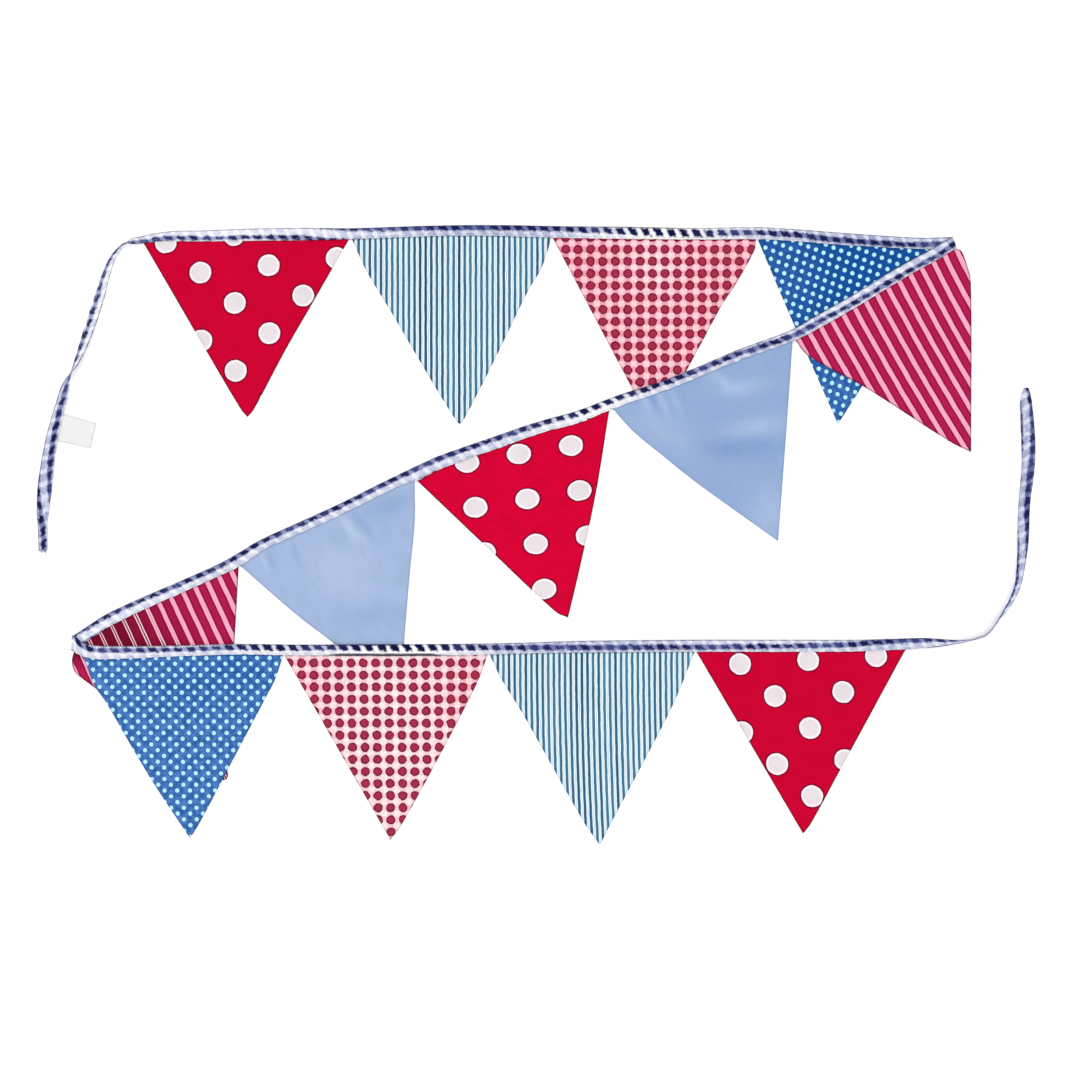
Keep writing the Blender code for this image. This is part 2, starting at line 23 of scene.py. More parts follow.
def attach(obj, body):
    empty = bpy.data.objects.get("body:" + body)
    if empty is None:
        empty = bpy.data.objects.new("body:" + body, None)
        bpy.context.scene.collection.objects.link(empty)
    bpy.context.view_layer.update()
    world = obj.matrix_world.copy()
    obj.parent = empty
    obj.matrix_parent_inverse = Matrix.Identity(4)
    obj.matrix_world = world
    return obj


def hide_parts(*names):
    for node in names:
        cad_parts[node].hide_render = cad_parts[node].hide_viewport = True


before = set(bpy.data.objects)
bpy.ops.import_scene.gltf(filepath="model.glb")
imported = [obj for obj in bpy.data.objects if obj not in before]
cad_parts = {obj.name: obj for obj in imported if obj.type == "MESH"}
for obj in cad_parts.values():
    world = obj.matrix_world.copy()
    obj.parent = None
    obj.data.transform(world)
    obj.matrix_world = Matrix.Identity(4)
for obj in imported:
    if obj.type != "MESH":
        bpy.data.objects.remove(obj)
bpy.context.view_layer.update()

logging.basicConfig(level=logging.INFO, format="%(message)s")
LOG = logging.getLogger("bunting")

BODY = "root"
CLOTH_MAP = "cloth"
FROM_EDGE = "from_edge"
# The tone attribute says how deep a cloth's colour is, partly its own uneven colour and partly painted
# light and shade.
TONE_AND_SHADE = "tone"
# The next attribute holds the painted shade where a pennant goes into the tape.
TUCK_SHADE = "tuck_shading"
OVAL = "oval"
CRISP = "crisp"
UP = Vector((0.0, 0.0, 1.0))
MM_PER_METRE = 1000.0
SHORTEST_SPAN = 1e-9

# The layers of cloth, and the air left between them.
LEAF_THICKNESS = 0.0005
PENNANT_THICKNESS = 0.0008
LAYER_GAP = 0.0001
TAPE_OVER_TAPE_GAP = 0.0003
OPEN_SLOT = PENNANT_THICKNESS + 2 * LAYER_GAP
CLOSED_SLOT = 0.0001
OVER_TAPE = 2 * LEAF_THICKNESS + OPEN_SLOT + TAPE_OVER_TAPE_GAP
OVER_PENNANT = PENNANT_THICKNESS + 0.0004
COVER_EASING = 0.012
TAPE_COVER_MARGIN = 0.005
PENNANT_COVER_MARGIN = 0.002

# Quarter-inch gingham repeats every half inch.
GINGHAM_REPEAT = 0.0127

# A pair is a plan point, a size along and across the cloth, or the two ends of a span. What
# blends is a number or a vector.
Pair = tuple[float, float]
Blended = float | Vector


class Cloth(Enum):
    """The cloths of the bunting, named as the record's material slots are."""

    GINGHAM = "gingham"
    RED_SPOT = "red_spot"
    TICKING = "ticking"
    PINK_DOT = "pink_dot"
    PIN_DOT = "pin_dot"
    CRIMSON_STRIPE = "crimson_stripe"
    PLAIN_BLUE = "plain_blue"
    LABEL = "label_satin"


# --- Small helpers ---

def ease(value: float) -> float:
    """A smooth step from 0 to 1 as value goes from 0 to 1."""
    value = min(max(value, 0.0), 1.0)
    return value * value * (3.0 - 2.0 * value)


def blend(start: Blended, end: Blended, share: float) -> Blended:
    """The value that lies a share of the way from start to end."""
    return start + (end - start) * share


def bell(away: float) -> float:
    """A smooth hump that is 1 at the middle and falls off on both sides."""
    return math.exp(-away * away)


def wander(x: float, y: float, z: float = 0.0) -> float:
    """Smooth noise from about -1 to 1 that changes along three axes."""
    return noise.noise(Vector((x, y, z)))


def metres(point: Iterable[float]) -> Vector:
    """A plan point in metres, from the millimetres of the tables."""
    return Vector([value / MM_PER_METRE for value in point])


def linear(code: str) -> tuple[float, ...]:
    """Turn an sRGB hex value to linear red, green and blue, and an alpha of 1."""
    channels = [value / 255.0 for value in bytes.fromhex(code.lstrip("#"))]
    return (*(c / 12.92 if c <= 0.04045 else ((c + 0.055) / 1.055) ** 2.4 for c in channels), 1.0)


def lengths_along(points: Sequence[Vector]) -> list[float]:
    """The distance of each point of a chain from its start."""
    steps = ((after - before).length for before, after in zip(points, points[1:]))
    return list(accumulate(steps, initial=0.0))


def span_at(lengths: Sequence[float], wanted: float) -> int:
    """The number of the chain's span that a distance along it falls in."""
    return min(max(bisect_right(lengths, wanted) - 1, 0), len(lengths) - 2)


class Path:
    """A smooth plan curve through points, which can be read by the distance along it."""

    STEP = 0.001

    def __init__(self, points: Sequence[Vector]) -> None:
        """Draw the curve through the points and measure it.

        Args:
            points: The plan points that the curve passes through.
        """
        ends = [points[0], *points, points[-1]]
        slopes = [(after - before) / ((here - before).length + (after - here).length)
                  for before, here, after in zip(ends, points, ends[2:])]
        self.points = []
        for start, end, leaving, arriving in zip(points, points[1:], slopes, slopes[1:]):
            chord = (end - start).length
            count = max(math.ceil(chord / self.STEP), 1)
            for t in (part / count for part in range(count)):
                self.points.append(
                    start * (2 * t ** 3 - 3 * t ** 2 + 1)
                    + leaving * chord * (t ** 3 - 2 * t ** 2 + t)
                    + end * (3 * t ** 2 - 2 * t ** 3)
                    + arriving * chord * (t ** 3 - t ** 2))
        self.points.append(points[-1])
        self.lengths = lengths_along(self.points)
        self.length = self.lengths[-1]

    def at(self, wanted: float) -> tuple[Vector, Vector]:
        """Read the curve at a distance along it.

        Args:
            wanted: The distance from the start.

        Returns:
            The point there and the unit direction of the curve.
        """
        index = span_at(self.lengths, wanted)
        start, end = self.points[index:index + 2]
        share = (wanted - self.lengths[index]) / (self.lengths[index + 1] - self.lengths[index])
        return start.lerp(end, share), (end - start).normalized()

    def nearest(self, point: Vector) -> float:
        """The distance along the curve at which it is nearest to a plan point."""
        return min(zip(self.points, self.lengths), key=lambda pair: (pair[0] - point).length)[1]


# --- The tape's route ---

@dataclass(frozen=True)
class Knot:
    """One point along the middle of the folded tape, in plan millimetres.

    roll turns the tape about its own length, in degrees. row is how far the middle of a navy
    row of the gingham is from the fold edge, on the leaf that is on top in the first run.
    """

    x: float
    y: float
    width: float
    roll: float
    row: float


# Each entry is one knot's x, y, width, roll and row.
TOP_RUN = (
    (-492.7, -15, 8.5, 360, -7.5), (-493.2, 7, 9.2, 360, -8), (-493, 25, 12, 360, -9.4),
    (-491.3, 45, 14, 360, -13), (-489, 65, 13.6, 360, -15.8), (-484.5, 93, 12, 360, -17.6),
    (-478, 120, 10.8, 360, -19.2), (-475, 130, 10.4, 360, -19.6), (-473.2, 136, 10, 348, -20),
    (-469.5, 149, 9.5, 305, -20.6), (-465.6, 159, 9.2, 270, -21), (-459.6, 170.5, 9.5, 235, -20.6),
    (-453, 187, 9.6, 208, -20), (-448, 202, 9.8, 190, -19.7), (-443, 217.5, 10, 180, -19.6),
    (-435.2, 241, 9.6, 158, -19.8), (-430.7, 256, 9.2, 138, -20.2), (-424.8, 272, 8.8, 122, -20.6),
    (-419, 282.2, 8.5, 108, -20.6), (-410, 291.4, 8.2, 90, -20.2), (-404, 293.2, 7.2, 40, -19.8),
    (-396.5, 294.6, 6.8, 0, -19.6), (-376, 297.8, 8.4, 0, -19), (-360, 298.7, 10.2, 0, -18.6),
    (-336, 298.8, 10.6, 0, -17.5), (-286, 300, 12, 0, -17), (-236, 300.7, 12.2, 0, -15.8),
    (-186, 301, 10.6, 0, -12.2), (-96, 304, 10.2, 0, -10.6), (-36, 304.2, 10.6, 0, -10.4),
    (24, 302.7, 11.6, 0, -10.2), (84, 302, 12, 0, -8.4), (164, 301, 11.3, 0, -7.4),
    (221, 301.5, 11.9, 0, -7.4), (264, 299.2, 11.7, 0, -7), (304, 296, 11.9, 0, -5.4),
    (344, 293.5, 11.2, 0, -5.2), (384, 291.4, 10.8, 0, -5.6), (416.5, 291.7, 11.6, 0, -7),
)
DIAGONAL_RUN = (
    (416.5, 291.7, 11.6, 0, -7), (404, 283.7, 11.6, 0, -8.3), (364, 261.6, 12, 0, -8.3),
    (324, 237, 12, 0, -7.4), (284, 214.2, 12, 0, -6.4), (257, 199.8, 10.6, 0, -5.7),
    (204, 180.4, 10, 0, -4), (164, 163.7, 9.4, 0, -3), (124, 147.7, 9.4, 0, -2.1),
    (84, 134.6, 10.4, 0, -1.9), (44, 118.7, 11.7, 0, -2.3), (4, 107.6, 11.4, 0, -2.4),
    (-36, 93.7, 12.2, 0, -2.4), (-96, 72.5, 12.5, 0, -2.4), (-118, 62.2, 13.2, 0, -2.4),
    (-136, 55, 10.4, 0, -2.2), (-196, 25.6, 10, 0, -2.2), (-236, 7.4, 10.1, 0, -2.2),
    (-274, -10, 9.8, 0, -2.2), (-296, -24.3, 12, 0, -2.4), (-316, -34.6, 10.8, 0, -2.4),
    (-347.4, -48.7, 10.8, 0, -2.4), (-396, -70, 11.6, 0, -2.4), (-426, -84.5, 12.3, 0, -2),
    (-446, -97.2, 12, 0, -0.8), (-462, -107.8, 11.8, 0, 1),
)
BOTTOM_RUN = (
    (-462, -107.8, 11.8, 0, 1), (-455, -113.4, 12.2, 0, 2.6), (-446, -116.4, 13, 0, 3.8),
    (-431, -117.6, 12.8, 0, 4), (-396, -117, 11.8, 0, 4), (-356, -115.8, 10.4, 0, 3.8),
    (-296, -114.3, 10.1, 0, 2.9), (-236, -115.1, 10.5, 0, 2.6), (-156, -115, 11.3, 0, 2.6),
    (-86, -114.8, 11.3, 0, 2.8), (-16, -113.2, 10.4, 0, 4.6), (44, -111.8, 11.4, 0, 6.2),
    (164, -110.8, 11.8, 0, 7.2), (264, -110.8, 11.7, 0, 6), (314, -110.7, 11.4, 0, 4.4),
    (354, -109.6, 10.8, 0, 1.8), (373, -108.8, 10.6, 0, 1.4), (389, -108, 10, 18, 1.6),
    (404, -107.6, 9.5, 45, 2), (415, -107, 9.2, 66, 2.6), (425.5, -106.2, 9, 82, 2.7),
    (432.6, -105, 9, 90, 2.8), (441.5, -102.8, 9, 90, 2.9), (447.5, -100.8, 9, 90, 3),
    (454, -95.3, 9, 96, 3), (461.5, -85, 9.2, 106, 3), (471.5, -70.5, 9.5, 122, 3),
    (477.3, -60, 9.6, 130, 3), (481.5, -48, 9.8, 138, 3), (483.7, -35, 10.2, 146, 3),
    (486.5, -10, 11, 166, 0), (487.2, 5, 11.2, 180, -1), (487.8, 25, 11.2, 180, -2.2),
    (489, 40, 11.3, 180, -3.2), (490.8, 55, 12.3, 180, -4.2), (492.3, 75, 13.2, 180, -3.5),
    (492.1, 95, 13.6, 180, -2), (491, 115, 13, 180, -1), (489.7, 135, 11.4, 180, -0.6),
    (490, 142, 8, 180, -0.5), (490.3, 147, 3.6, 180, -0.5),
)


@dataclass
class Layer:
    """Cloth that later layers lie over: a plan outline and how far it lifts what crosses it."""

    outline: list[Vector]
    level: float
    margin: float

    def __post_init__(self) -> None:
        """Keep the outline's box, past which the layer lifts nothing."""
        reach = self.margin + COVER_EASING
        self.low = [min(column) - reach for column in zip(*self.outline)]
        self.high = [max(column) + reach for column in zip(*self.outline)]

    def outside(self, point: Vector) -> float:
        """How far a plan point lies outside the outline.

        Args:
            point: The plan point.

        Returns:
            The distance to the outline, or 0 inside it.
        """
        inside = False
        nearest = math.inf
        for start, end in zip(self.outline, self.outline[1:] + self.outline[:1]):
            edge = end - start
            share = min(max((point - start).dot(edge) / edge.length_squared, 0.0), 1.0)
            nearest = min(nearest, (point - start - edge * share).length)
            if (start.y > point.y) != (end.y > point.y):
                crossing = start.x + (point.y - start.y) / (end.y - start.y) * edge.x
                inside = inside != (point.x < crossing)
        return 0.0 if inside else nearest

    def lift(self, point: Vector) -> float:
        """How far the layer lifts cloth at a plan point."""
        if not all(low < part < high for low, part, high in zip(self.low, point, self.high)):
            return 0.0
        return self.level * (1.0 - ease((self.outside(point) - self.margin) / COVER_EASING))


def cover_height(point: Vector, covers: Sequence[Layer]) -> float:
    """How high cloth lies at a plan point to clear every layer below it."""
    return max((layer.lift(point) for layer in covers), default=0.0)


@dataclass(frozen=True)
class TapeFrame:
    """The tape's section at one place.

    centre is the middle of the folded tape, across points from its fold edge to its mouth and
    normal from the under leaf to the upper leaf. slot is 1 where cloth is sewn in and 0 in a
    bare tie. row is the gingham's row in metres.
    """

    centre: Vector
    across: Vector
    normal: Vector
    width: float
    slot: float
    row: float

    @property
    def lift(self) -> float:
        """How far the middle of a leaf is from the middle of the tape."""
        return blend(CLOSED_SLOT, OPEN_SLOT, self.slot) / 2 + LEAF_THICKNESS / 2

    @property
    def half(self) -> float:
        """Half the tape's whole thickness."""
        return self.lift + LEAF_THICKNESS / 2

    def mixed(self, other: "TapeFrame", share: float) -> "TapeFrame":
        """The section a share of the way to another."""
        pairs = zip(vars(self).values(), vars(other).values())
        return TapeFrame(*(blend(mine, theirs, share) for mine, theirs in pairs))


class Run:
    """One stretch of the tape between its ends or folds."""

    FOLD_SKEW_LENGTH = 0.024
    SLOT_EASING = 0.009
    FOLD_STEPS = 12
    OUTLINE_STEP = 0.01

    def __init__(self, rows: Iterable[tuple[float, ...]], side: float) -> None:
        """Draw the run through its knots.

        Args:
            rows: The run's table of knots.
            side: 1 where its pennants hang on its right as it goes, and -1 on its left.
        """
        self.knots = [Knot(*row) for row in rows]
        self.side = side
        points = [metres((knot.x, knot.y)) for knot in self.knots]
        self.path = Path(points)
        self.length = self.path.length
        self.knot_lengths = [self.path.nearest(point) for point in points]
        self.start_fold: Vector | None = None
        self.end_fold: Vector | None = None
        self.openings: list[tuple[float, float]] = []
        self.covers: list[Layer] = []

    def from_knots(self, column: str, length: float) -> float:
        """Read a column of the run's table between its knots.

        Args:
            column: The name of the Knot's field.
            length: The distance along the run.

        Returns:
            The value there, in the table's unit.
        """
        index = span_at(self.knot_lengths, length)
        start, end = self.knot_lengths[index:index + 2]
        before, after = (getattr(knot, column) for knot in self.knots[index:index + 2])
        share = max(length - start, 0.0) / max(end - start, Path.STEP)
        return blend(before, after, min(share, 1.0))

    def width_at(self, length: float) -> float:
        """The tape's width at a distance along the run."""
        return self.from_knots("width", length) / MM_PER_METRE

    def slot_at(self, length: float) -> float:
        """How far the slot is open: 1 where cloth is sewn in, 0 in a bare tie."""
        away = min(max(start - length, length - end, 0.0) for start, end in self.openings)
        return 1.0 - ease(away / self.SLOT_EASING)

    def slanted_across(self, length: float, direction: Vector) -> Vector:
        """The direction from edge to edge, slanted to match a fold line near a fold.

        Args:
            length: The distance along the run.
            direction: The run's unit direction there.

        Returns:
            The plan direction from the fold edge to the mouth.
        """
        across = Vector((direction.y, -direction.x)) * self.side
        for fold_line, away in ((self.start_fold, length), (self.end_fold, self.length - length)):
            if fold_line is not None and away < self.FOLD_SKEW_LENGTH:
                slant = fold_line.dot(direction) / fold_line.dot(across)
                share = ease(1.0 - away / self.FOLD_SKEW_LENGTH)
                across = across + direction * slant * share
        return across

    def frame(self, length: float) -> TapeFrame:
        """Work out the tape's section.

        Args:
            length: The distance along the run.

        Returns:
            The section there, lying on every layer below it.
        """
        middle, direction = self.path.at(length)
        across = self.slanted_across(length, direction).to_3d()
        roll = math.radians(self.from_knots("roll", length))
        section = TapeFrame(
            Vector(), across * math.cos(roll) + UP * math.sin(roll) * self.side,
            UP * math.cos(roll) * self.side - across * math.sin(roll),
            self.width_at(length), self.slot_at(length),
            self.from_knots("row", length) / MM_PER_METRE)
        stands = section.width / 2 * abs(math.sin(roll)) + section.half * abs(math.cos(roll))
        height = cover_height(middle, self.covers) + stands
        return replace(section, centre=Vector((*middle, height)))

    def mouth_point(self, length: float) -> Vector:
        """The middle of the slot at the tape's mouth."""
        section = self.frame(length)
        return section.centre + section.across * section.width / 2

    def length_at_mouth_x(self, x: float) -> float:
        """Find where the run's mouth has a given x.

        Args:
            x: The x of the mouth.

        Returns:
            The distance along the run, to the nearest step.
        """
        found = []
        for index in range(int(self.length / Path.STEP) + 1):
            length = index * Path.STEP
            middle, direction = self.path.at(length)
            if self.from_knots("roll", length) == 0:
                across = self.slanted_across(length, direction)
                mouth_x = middle.x + across.x * self.width_at(length) / 2
                found.append((abs(mouth_x - x), length))
        return min(found)[1]

    def layer(self) -> Layer:
        """Measure the strip that the run's tape covers.

        Returns:
            The strip as a layer that later cloth lies over.
        """
        left, right = [], []
        for index in range(int(self.length / self.OUTLINE_STEP) + 1):
            length = index * self.OUTLINE_STEP
            middle, direction = self.path.at(length)
            half = Vector((direction.y, -direction.x)) * self.width_at(length) / 2
            left.append(middle + half)
            right.append(middle - half)
        return Layer(left + right[::-1], OVER_TAPE, TAPE_COVER_MARGIN)

    def fold_onto(self, following: "Run") -> None:
        """Share with the following run the line that the tape folds along."""
        arriving = self.path.at(self.length)[1]
        leaving = following.path.at(0.0)[1]
        self.end_fold = following.start_fold = (arriving + leaving).normalized()

    def fold_frames(self) -> list[TapeFrame]:
        """Turn the tape over at the run's end.

        Returns:
            The tape's sections around the half turn.
        """
        start = self.frame(self.length)
        direction = self.path.at(self.length)[1]
        along_line = self.end_fold * direction.dot(self.end_fold)
        outward = (direction - along_line).normalized().to_3d()
        radius = start.half + TAPE_OVER_TAPE_GAP / 2
        frames = []
        for step in range(1, self.FOLD_STEPS):
            turn = math.pi * step / self.FOLD_STEPS
            centre = start.centre + outward * radius * math.sin(turn)
            centre = centre + UP * radius * (1.0 - math.cos(turn))
            normal = UP * math.cos(turn) - outward * math.sin(turn)
            frames.append(replace(start, centre=centre, normal=normal * self.side))
        return frames


# --- The pennants' table ---

@dataclass(frozen=True)
class Placement:
    """How a print lies on a pennant, in plan millimetres.

    origin is the middle of one dot or stripe, and first and second are the steps to the next
    repeats. bend drifts the print along first by that share of a repeat one second step from
    the origin, and by the square of the steps further on.
    """

    origin: Pair
    first: Pair
    second: Pair
    bend: float = 0.0

    def repeats(self, point: Vector) -> tuple[float, float]:
        """How many repeats of the print a plan point is from the origin.

        Args:
            point: The plan point, in metres.

        Returns:
            The number of first steps and of second steps.
        """
        away = (point.x * MM_PER_METRE - self.origin[0], point.y * MM_PER_METRE - self.origin[1])
        scale = self.first[0] * self.second[1] - self.first[1] * self.second[0]
        across = (away[0] * self.second[1] - away[1] * self.second[0]) / scale
        along = (away[1] * self.first[0] - away[0] * self.first[1]) / scale
        return across + self.bend * along * along, along


@dataclass(frozen=True)
class Crease:
    """A soft ridge between two points, in plan millimetres. blunt is how blunt its ends are."""

    start: Pair
    end: Pair
    height: float
    width: float
    blunt: float = 0.08

    def height_at(self, point: Vector) -> float:
        """Work out the crease's height at a point.

        Args:
            point: The plan point, in metres.

        Returns:
            How far the crease lifts it, in metres, tapering to the crease's ends.
        """
        start, end = metres(self.start), metres(self.end)
        along = end - start
        share = (point - start).dot(along) / along.length_squared
        inside = min(max(share, 0.0), 1.0)
        away = (point - start - along * inside).length / (self.width / MM_PER_METRE)
        taper = math.sin(math.pi * blend(self.blunt, 1.0 - self.blunt, inside))
        return self.height / MM_PER_METRE * bell(away) * taper


@dataclass(frozen=True)
class Patch:
    """A soft patch of deeper colour, or of paler colour where the amount is negative.

    centre and reach are in plan millimetres, and turn is the angle of the first reach in
    degrees. Some patches paint shade and highlights, and others the cloth's uneven colour.
    """

    centre: Pair
    reach: Pair
    amount: float
    turn: float = 0.0

    def amount_at(self, point: Vector) -> float:
        """How much the patch changes the tone at a plan point."""
        away = Matrix.Rotation(math.radians(-self.turn), 2) @ (point - metres(self.centre))
        reach = metres(self.reach)
        return self.amount * bell(away.x / reach.x) * bell(away.y / reach.y)


def toned(base: float, patches: Iterable[Patch], point: Vector) -> float:
    """How deep cloth's colour is at a plan point, from 0 to 1, painted light and shade included."""
    return min(max(base + sum(patch.amount_at(point) for patch in patches), 0.0), 1.0)


@dataclass(frozen=True)
class PennantPlan:
    """One pennant of the bunting, in plan millimetres.

    left_x and right_x are the x of its corners at the tape's mouth, tip is its point, and the
    two edges list the points that they pass through where they are not straight. tone goes from
    the cloth's pale colours at 0 to its deep ones at 1, and patches change it in places; the tone
    and its patches are partly the cloth's uneven colour and partly painted light and shade, such
    as painted highlights and shade of soft folds on the plain blue pennants and painted shade on
    pennant 9 near the bottom tape. oval is how far the cloth's own pull draws its dots out of
    round. ripple is the height of its soft waves, which fade at the reach's share of its drop,
    and gathers is the height of its puckers at the tape.
    """

    name: str
    cloth: Cloth
    run: str
    left_x: float
    right_x: float
    tip: Pair
    placement: Placement
    tone: float
    oval: float = 0.0
    ripple: float = 0.0
    waves: float = 2.0
    reach: float = 1.0
    gathers: float = 0.0
    left_edge: tuple[Pair, ...] = ()
    right_edge: tuple[Pair, ...] = ()
    creases: tuple[Crease, ...] = ()
    patches: tuple[Patch, ...] = ()


# Pennants 6 and 8 have patches that paint the highlights and shade of soft folds, and pennant 9 has
# patches of painted shade near the bottom tape and over its left part. Elsewhere the tones and patches
# are partly the cloth's uneven colour and partly painted light and shade.
PENNANTS = (
    PennantPlan("pennant_01", Cloth.RED_SPOT, "top", -392, -186.5, (-288.5, 118),
        Placement((-301, 232), (34.5, -30.3), (33.7, 37.6)), tone=0.7,
        left_edge=((-318.5, 165), (-294.5, 125)),
        right_edge=((-204.5, 265), (-227.5, 225), (-250.5, 185), (-282.5, 125))),
    PennantPlan("pennant_02", Cloth.TICKING, "top", -183.8, 15, (-76, 111),
        Placement((-99.1, 200), (5.58, 0), (0, 5.58)), tone=0.75,
        left_edge=((-170, 265), (-146, 225), (-99, 145), (-78.3, 112.2)),
        right_edge=((12, 285), (4.5, 265), (-7.5, 245), (-46.5, 165), (-74, 112.2)),
        patches=(Patch((-72, 260), (35, 90), 0.25), Patch((0, 260), (35, 90), -0.5),
            Patch((-80, 150), (50, 40), -0.2))),
    PennantPlan("pennant_03", Cloth.PINK_DOT, "top", 17.2, 220, (118, 105),
        Placement((116.5, 285.5), (12.4, 0), (0, 12.05)), tone=0.85,
        right_edge=((218.5, 285), (198.5, 249), (186.5, 231), (167, 195)),
        patches=(Patch((120, 270), (30, 35), -0.45), Patch((45, 280), (25, 30), 0.25),
            Patch((190, 270), (35, 50), 0.25))),
    PennantPlan("pennant_04", Cloth.PIN_DOT, "top", 222.2, 413, (302, 111),
        Placement((328.2, 275), (7.7, -3.07), (2.15, 8.2)), tone=0.95,
        left_edge=((257.7, 211),),
        patches=(Patch((300, 140), (60, 35), -0.6), Patch((250, 260), (35, 50), -0.3))),
    PennantPlan("pennant_05", Cloth.CRIMSON_STRIPE, "diagonal", 259.2, 420.5, (435, 83),
        Placement((360, 245), (14.7, 0), (-6.04, 11.4), bend=-0.0026), tone=0.1, ripple=1.6, waves=2.5,
        reach=0.9,
        left_edge=((271, 180), (330, 147), (414.5, 93)),
        right_edge=((424.5, 284.5), (428, 278), (431.8, 267), (434, 259), (434.8, 245), (435.2, 200))),
    PennantPlan("pennant_06", Cloth.PLAIN_BLUE, "diagonal", 77, 256.5, (242, -6),
        Placement((166, 160), (9.3, 3.7), (-3.7, 9.3)), tone=0.8, ripple=1, waves=3, reach=0.8,
        gathers=0.6,
        left_edge=((97.5, 103.5), (126.5, 79.5), (157, 55), (190, 31)),
        right_edge=((251.3, 119),),
        creases=(Crease((118, 148), (135, 112), 0.8, 5), Crease((170, 160), (213, 144), 1, 9),
            Crease((195, 102), (250, 113), 0.9, 10)),
        patches=(Patch((108, 135), (13, 3.5), -0.3, -65), Patch((116, 137), (13, 3), 0.25, -65),
            Patch((125, 136), (16, 3.5), -0.35, -66), Patch((140, 133), (16, 4), -0.25, -66),
            Patch((183, 156), (22, 6), -0.35, -35), Patch((208, 148), (26, 8), -0.3, 8),
            Patch((220, 108), (32, 10), -0.4, 8), Patch((128, 104), (42, 17), -0.25, -35),
            Patch((206, 88), (42, 10), 0.25, 3), Patch((233, 20), (25, 30), -0.3))),
    PennantPlan("pennant_07", Cloth.RED_SPOT, "diagonal", -119.5, 73.5, (32, -82.5),
        Placement((-17, 81), (8.4, -45), (52, 8.4)), tone=0.1, oval=0.055,
        left_edge=((-44, -17), (20, -77)),
        right_edge=((60, 43), (44, -32))),
    PennantPlan("pennant_08", Cloth.PLAIN_BLUE, "diagonal", -295.5, -121.2, (-136, -157),
        Placement((-208, 8), (9, 4.4), (-4.4, 9)), tone=0.5, ripple=1, waves=2.5, reach=0.45, gathers=0.4,
        left_edge=((-242, -77.5), (-211.5, -101)),
        right_edge=((-121.3, 14), (-126.2, -38)),
        creases=(Crease((-196, 19), (-168, -12), 1, 5), Crease((-277, -18), (-268, -40), 0.6, 4),
            Crease((-242, -6), (-233, -33), 0.6, 4)),
        patches=(Patch((-185, 6), (18, 5.5), -0.4, -47), Patch((-173, 9), (17, 5), 0.25, -47),
            Patch((-150, 28), (26, 10), 0.3, 15), Patch((-272, -27), (12, 3.5), -0.25, -65),
            Patch((-265, -25), (12, 3.5), 0.25, -65), Patch((-240, -19), (14, 3.5), 0.22, -70),
            Patch((-195, -35), (40, 26), -0.2, -20), Patch((-165, -80), (45, 10), 0.15, 8))),
    PennantPlan("pennant_09", Cloth.CRIMSON_STRIPE, "diagonal", -459.8, -297.2, (-312.5, -245),
        Placement((-318.2, -85), (14.5, 0), (-5.44, 11.7)), tone=0.15,
        left_edge=((-463.5, -122), (-463.2, -132), (-458, -140.2)),
        right_edge=((-301.5, -105), (-311.5, -233), (-308.8, -236), (-307.8, -240), (-309, -244)),
        patches=(Patch((-445, -100), (72, 60), 0.95), Patch((-370, -113), (200, 9), 0.35),
            Patch((-311, -240), (20, 15), 0.85), Patch((-462, -140), (25, 18), -0.9))),
    PennantPlan("pennant_10", Cloth.PIN_DOT, "bottom", -452, -252.4, (-346, -303),
        Placement((-373.1, -140.2), (6.21, 5.76), (-6.4, 5.76)), tone=0.1,
        left_edge=((-441.5, -150), (-431, -165), (-411, -200), (-383, -247)),
        right_edge=((-261.2, -145), (-270.5, -163), (-299, -217), (-337, -289)),
        patches=(Patch((-300, -135), (40, 20), 0.35), Patch((-355, -150), (25, 20), 0.25))),
    PennantPlan("pennant_11", Cloth.PINK_DOT, "bottom", -251.8, -48.2, (-145.5, -305),
        Placement((-147.5, -140), (12.4, 0), (-0.2, 12.05)), tone=0.15,
        right_edge=((-57.5, -145), (-94.5, -217), (-134, -289)),
        patches=(Patch((-145.5, -205), (45, 45), -0.15), Patch((-230, -150), (25, 35), 0.4),
            Patch((-70, -150), (25, 35), 0.4))),
    PennantPlan("pennant_12", Cloth.TICKING, "bottom", -46.8, 158.5, (64, -310),
        Placement((57, -120), (5.6, 0), (0, 5.6), bend=-0.00076), tone=0.45,
        left_edge=((-34, -145), (-12, -181), (49, -289)),
        right_edge=((147.5, -145), (131.5, -181), (74.5, -289)),
        patches=(Patch((64, -200), (30, 30), -0.45), Patch((20, -135), (40, 25), 0.35))),
    PennantPlan("pennant_13", Cloth.RED_SPOT, "bottom", 160, 370, (267, -298.5),
        Placement((239, -161), (35, -32), (33, 36)), tone=0.8,
        right_edge=((304, -235), (274.5, -289))),
)

# Where the tape's tones are deeper or paler than elsewhere, where its check is blackest on plain
# white, where its mouth has a painted shade line, and where the painted shade line along its fold
# is bolder.
TAPE_TONE = 0.45
TAPE_PATCHES = (Patch((-300, 300), (110, 30), -0.4), Patch((-60, 304), (100, 20), 0.45),
    Patch((115, 302), (55, 20), -0.45), Patch((330, 295), (100, 15), 0.5),
    Patch((230, 190), (50, 30), 0.25), Patch((40, 120), (50, 40), -0.3),
    Patch((-370, -90), (100, 60), -0.3), Patch((-140, -115), (70, 20), -0.25),
    Patch((50, -112), (100, 20), 0.4), Patch((350, -108), (35, 20), 0.4),
    Patch((490, 30), (60, 190), 0.55), Patch((-440, 230), (30, 70), -0.4),
    Patch((-490, 50), (30, 100), 0.3))
CRISP_PATCHES = (Patch((130, 302), (60, 20), 1.1), Patch((-135, -115), (65, 20), 1.1),
    Patch((-265, -110), (35, 20), 0.6), Patch((65, 120), (55, 50), 0.8))
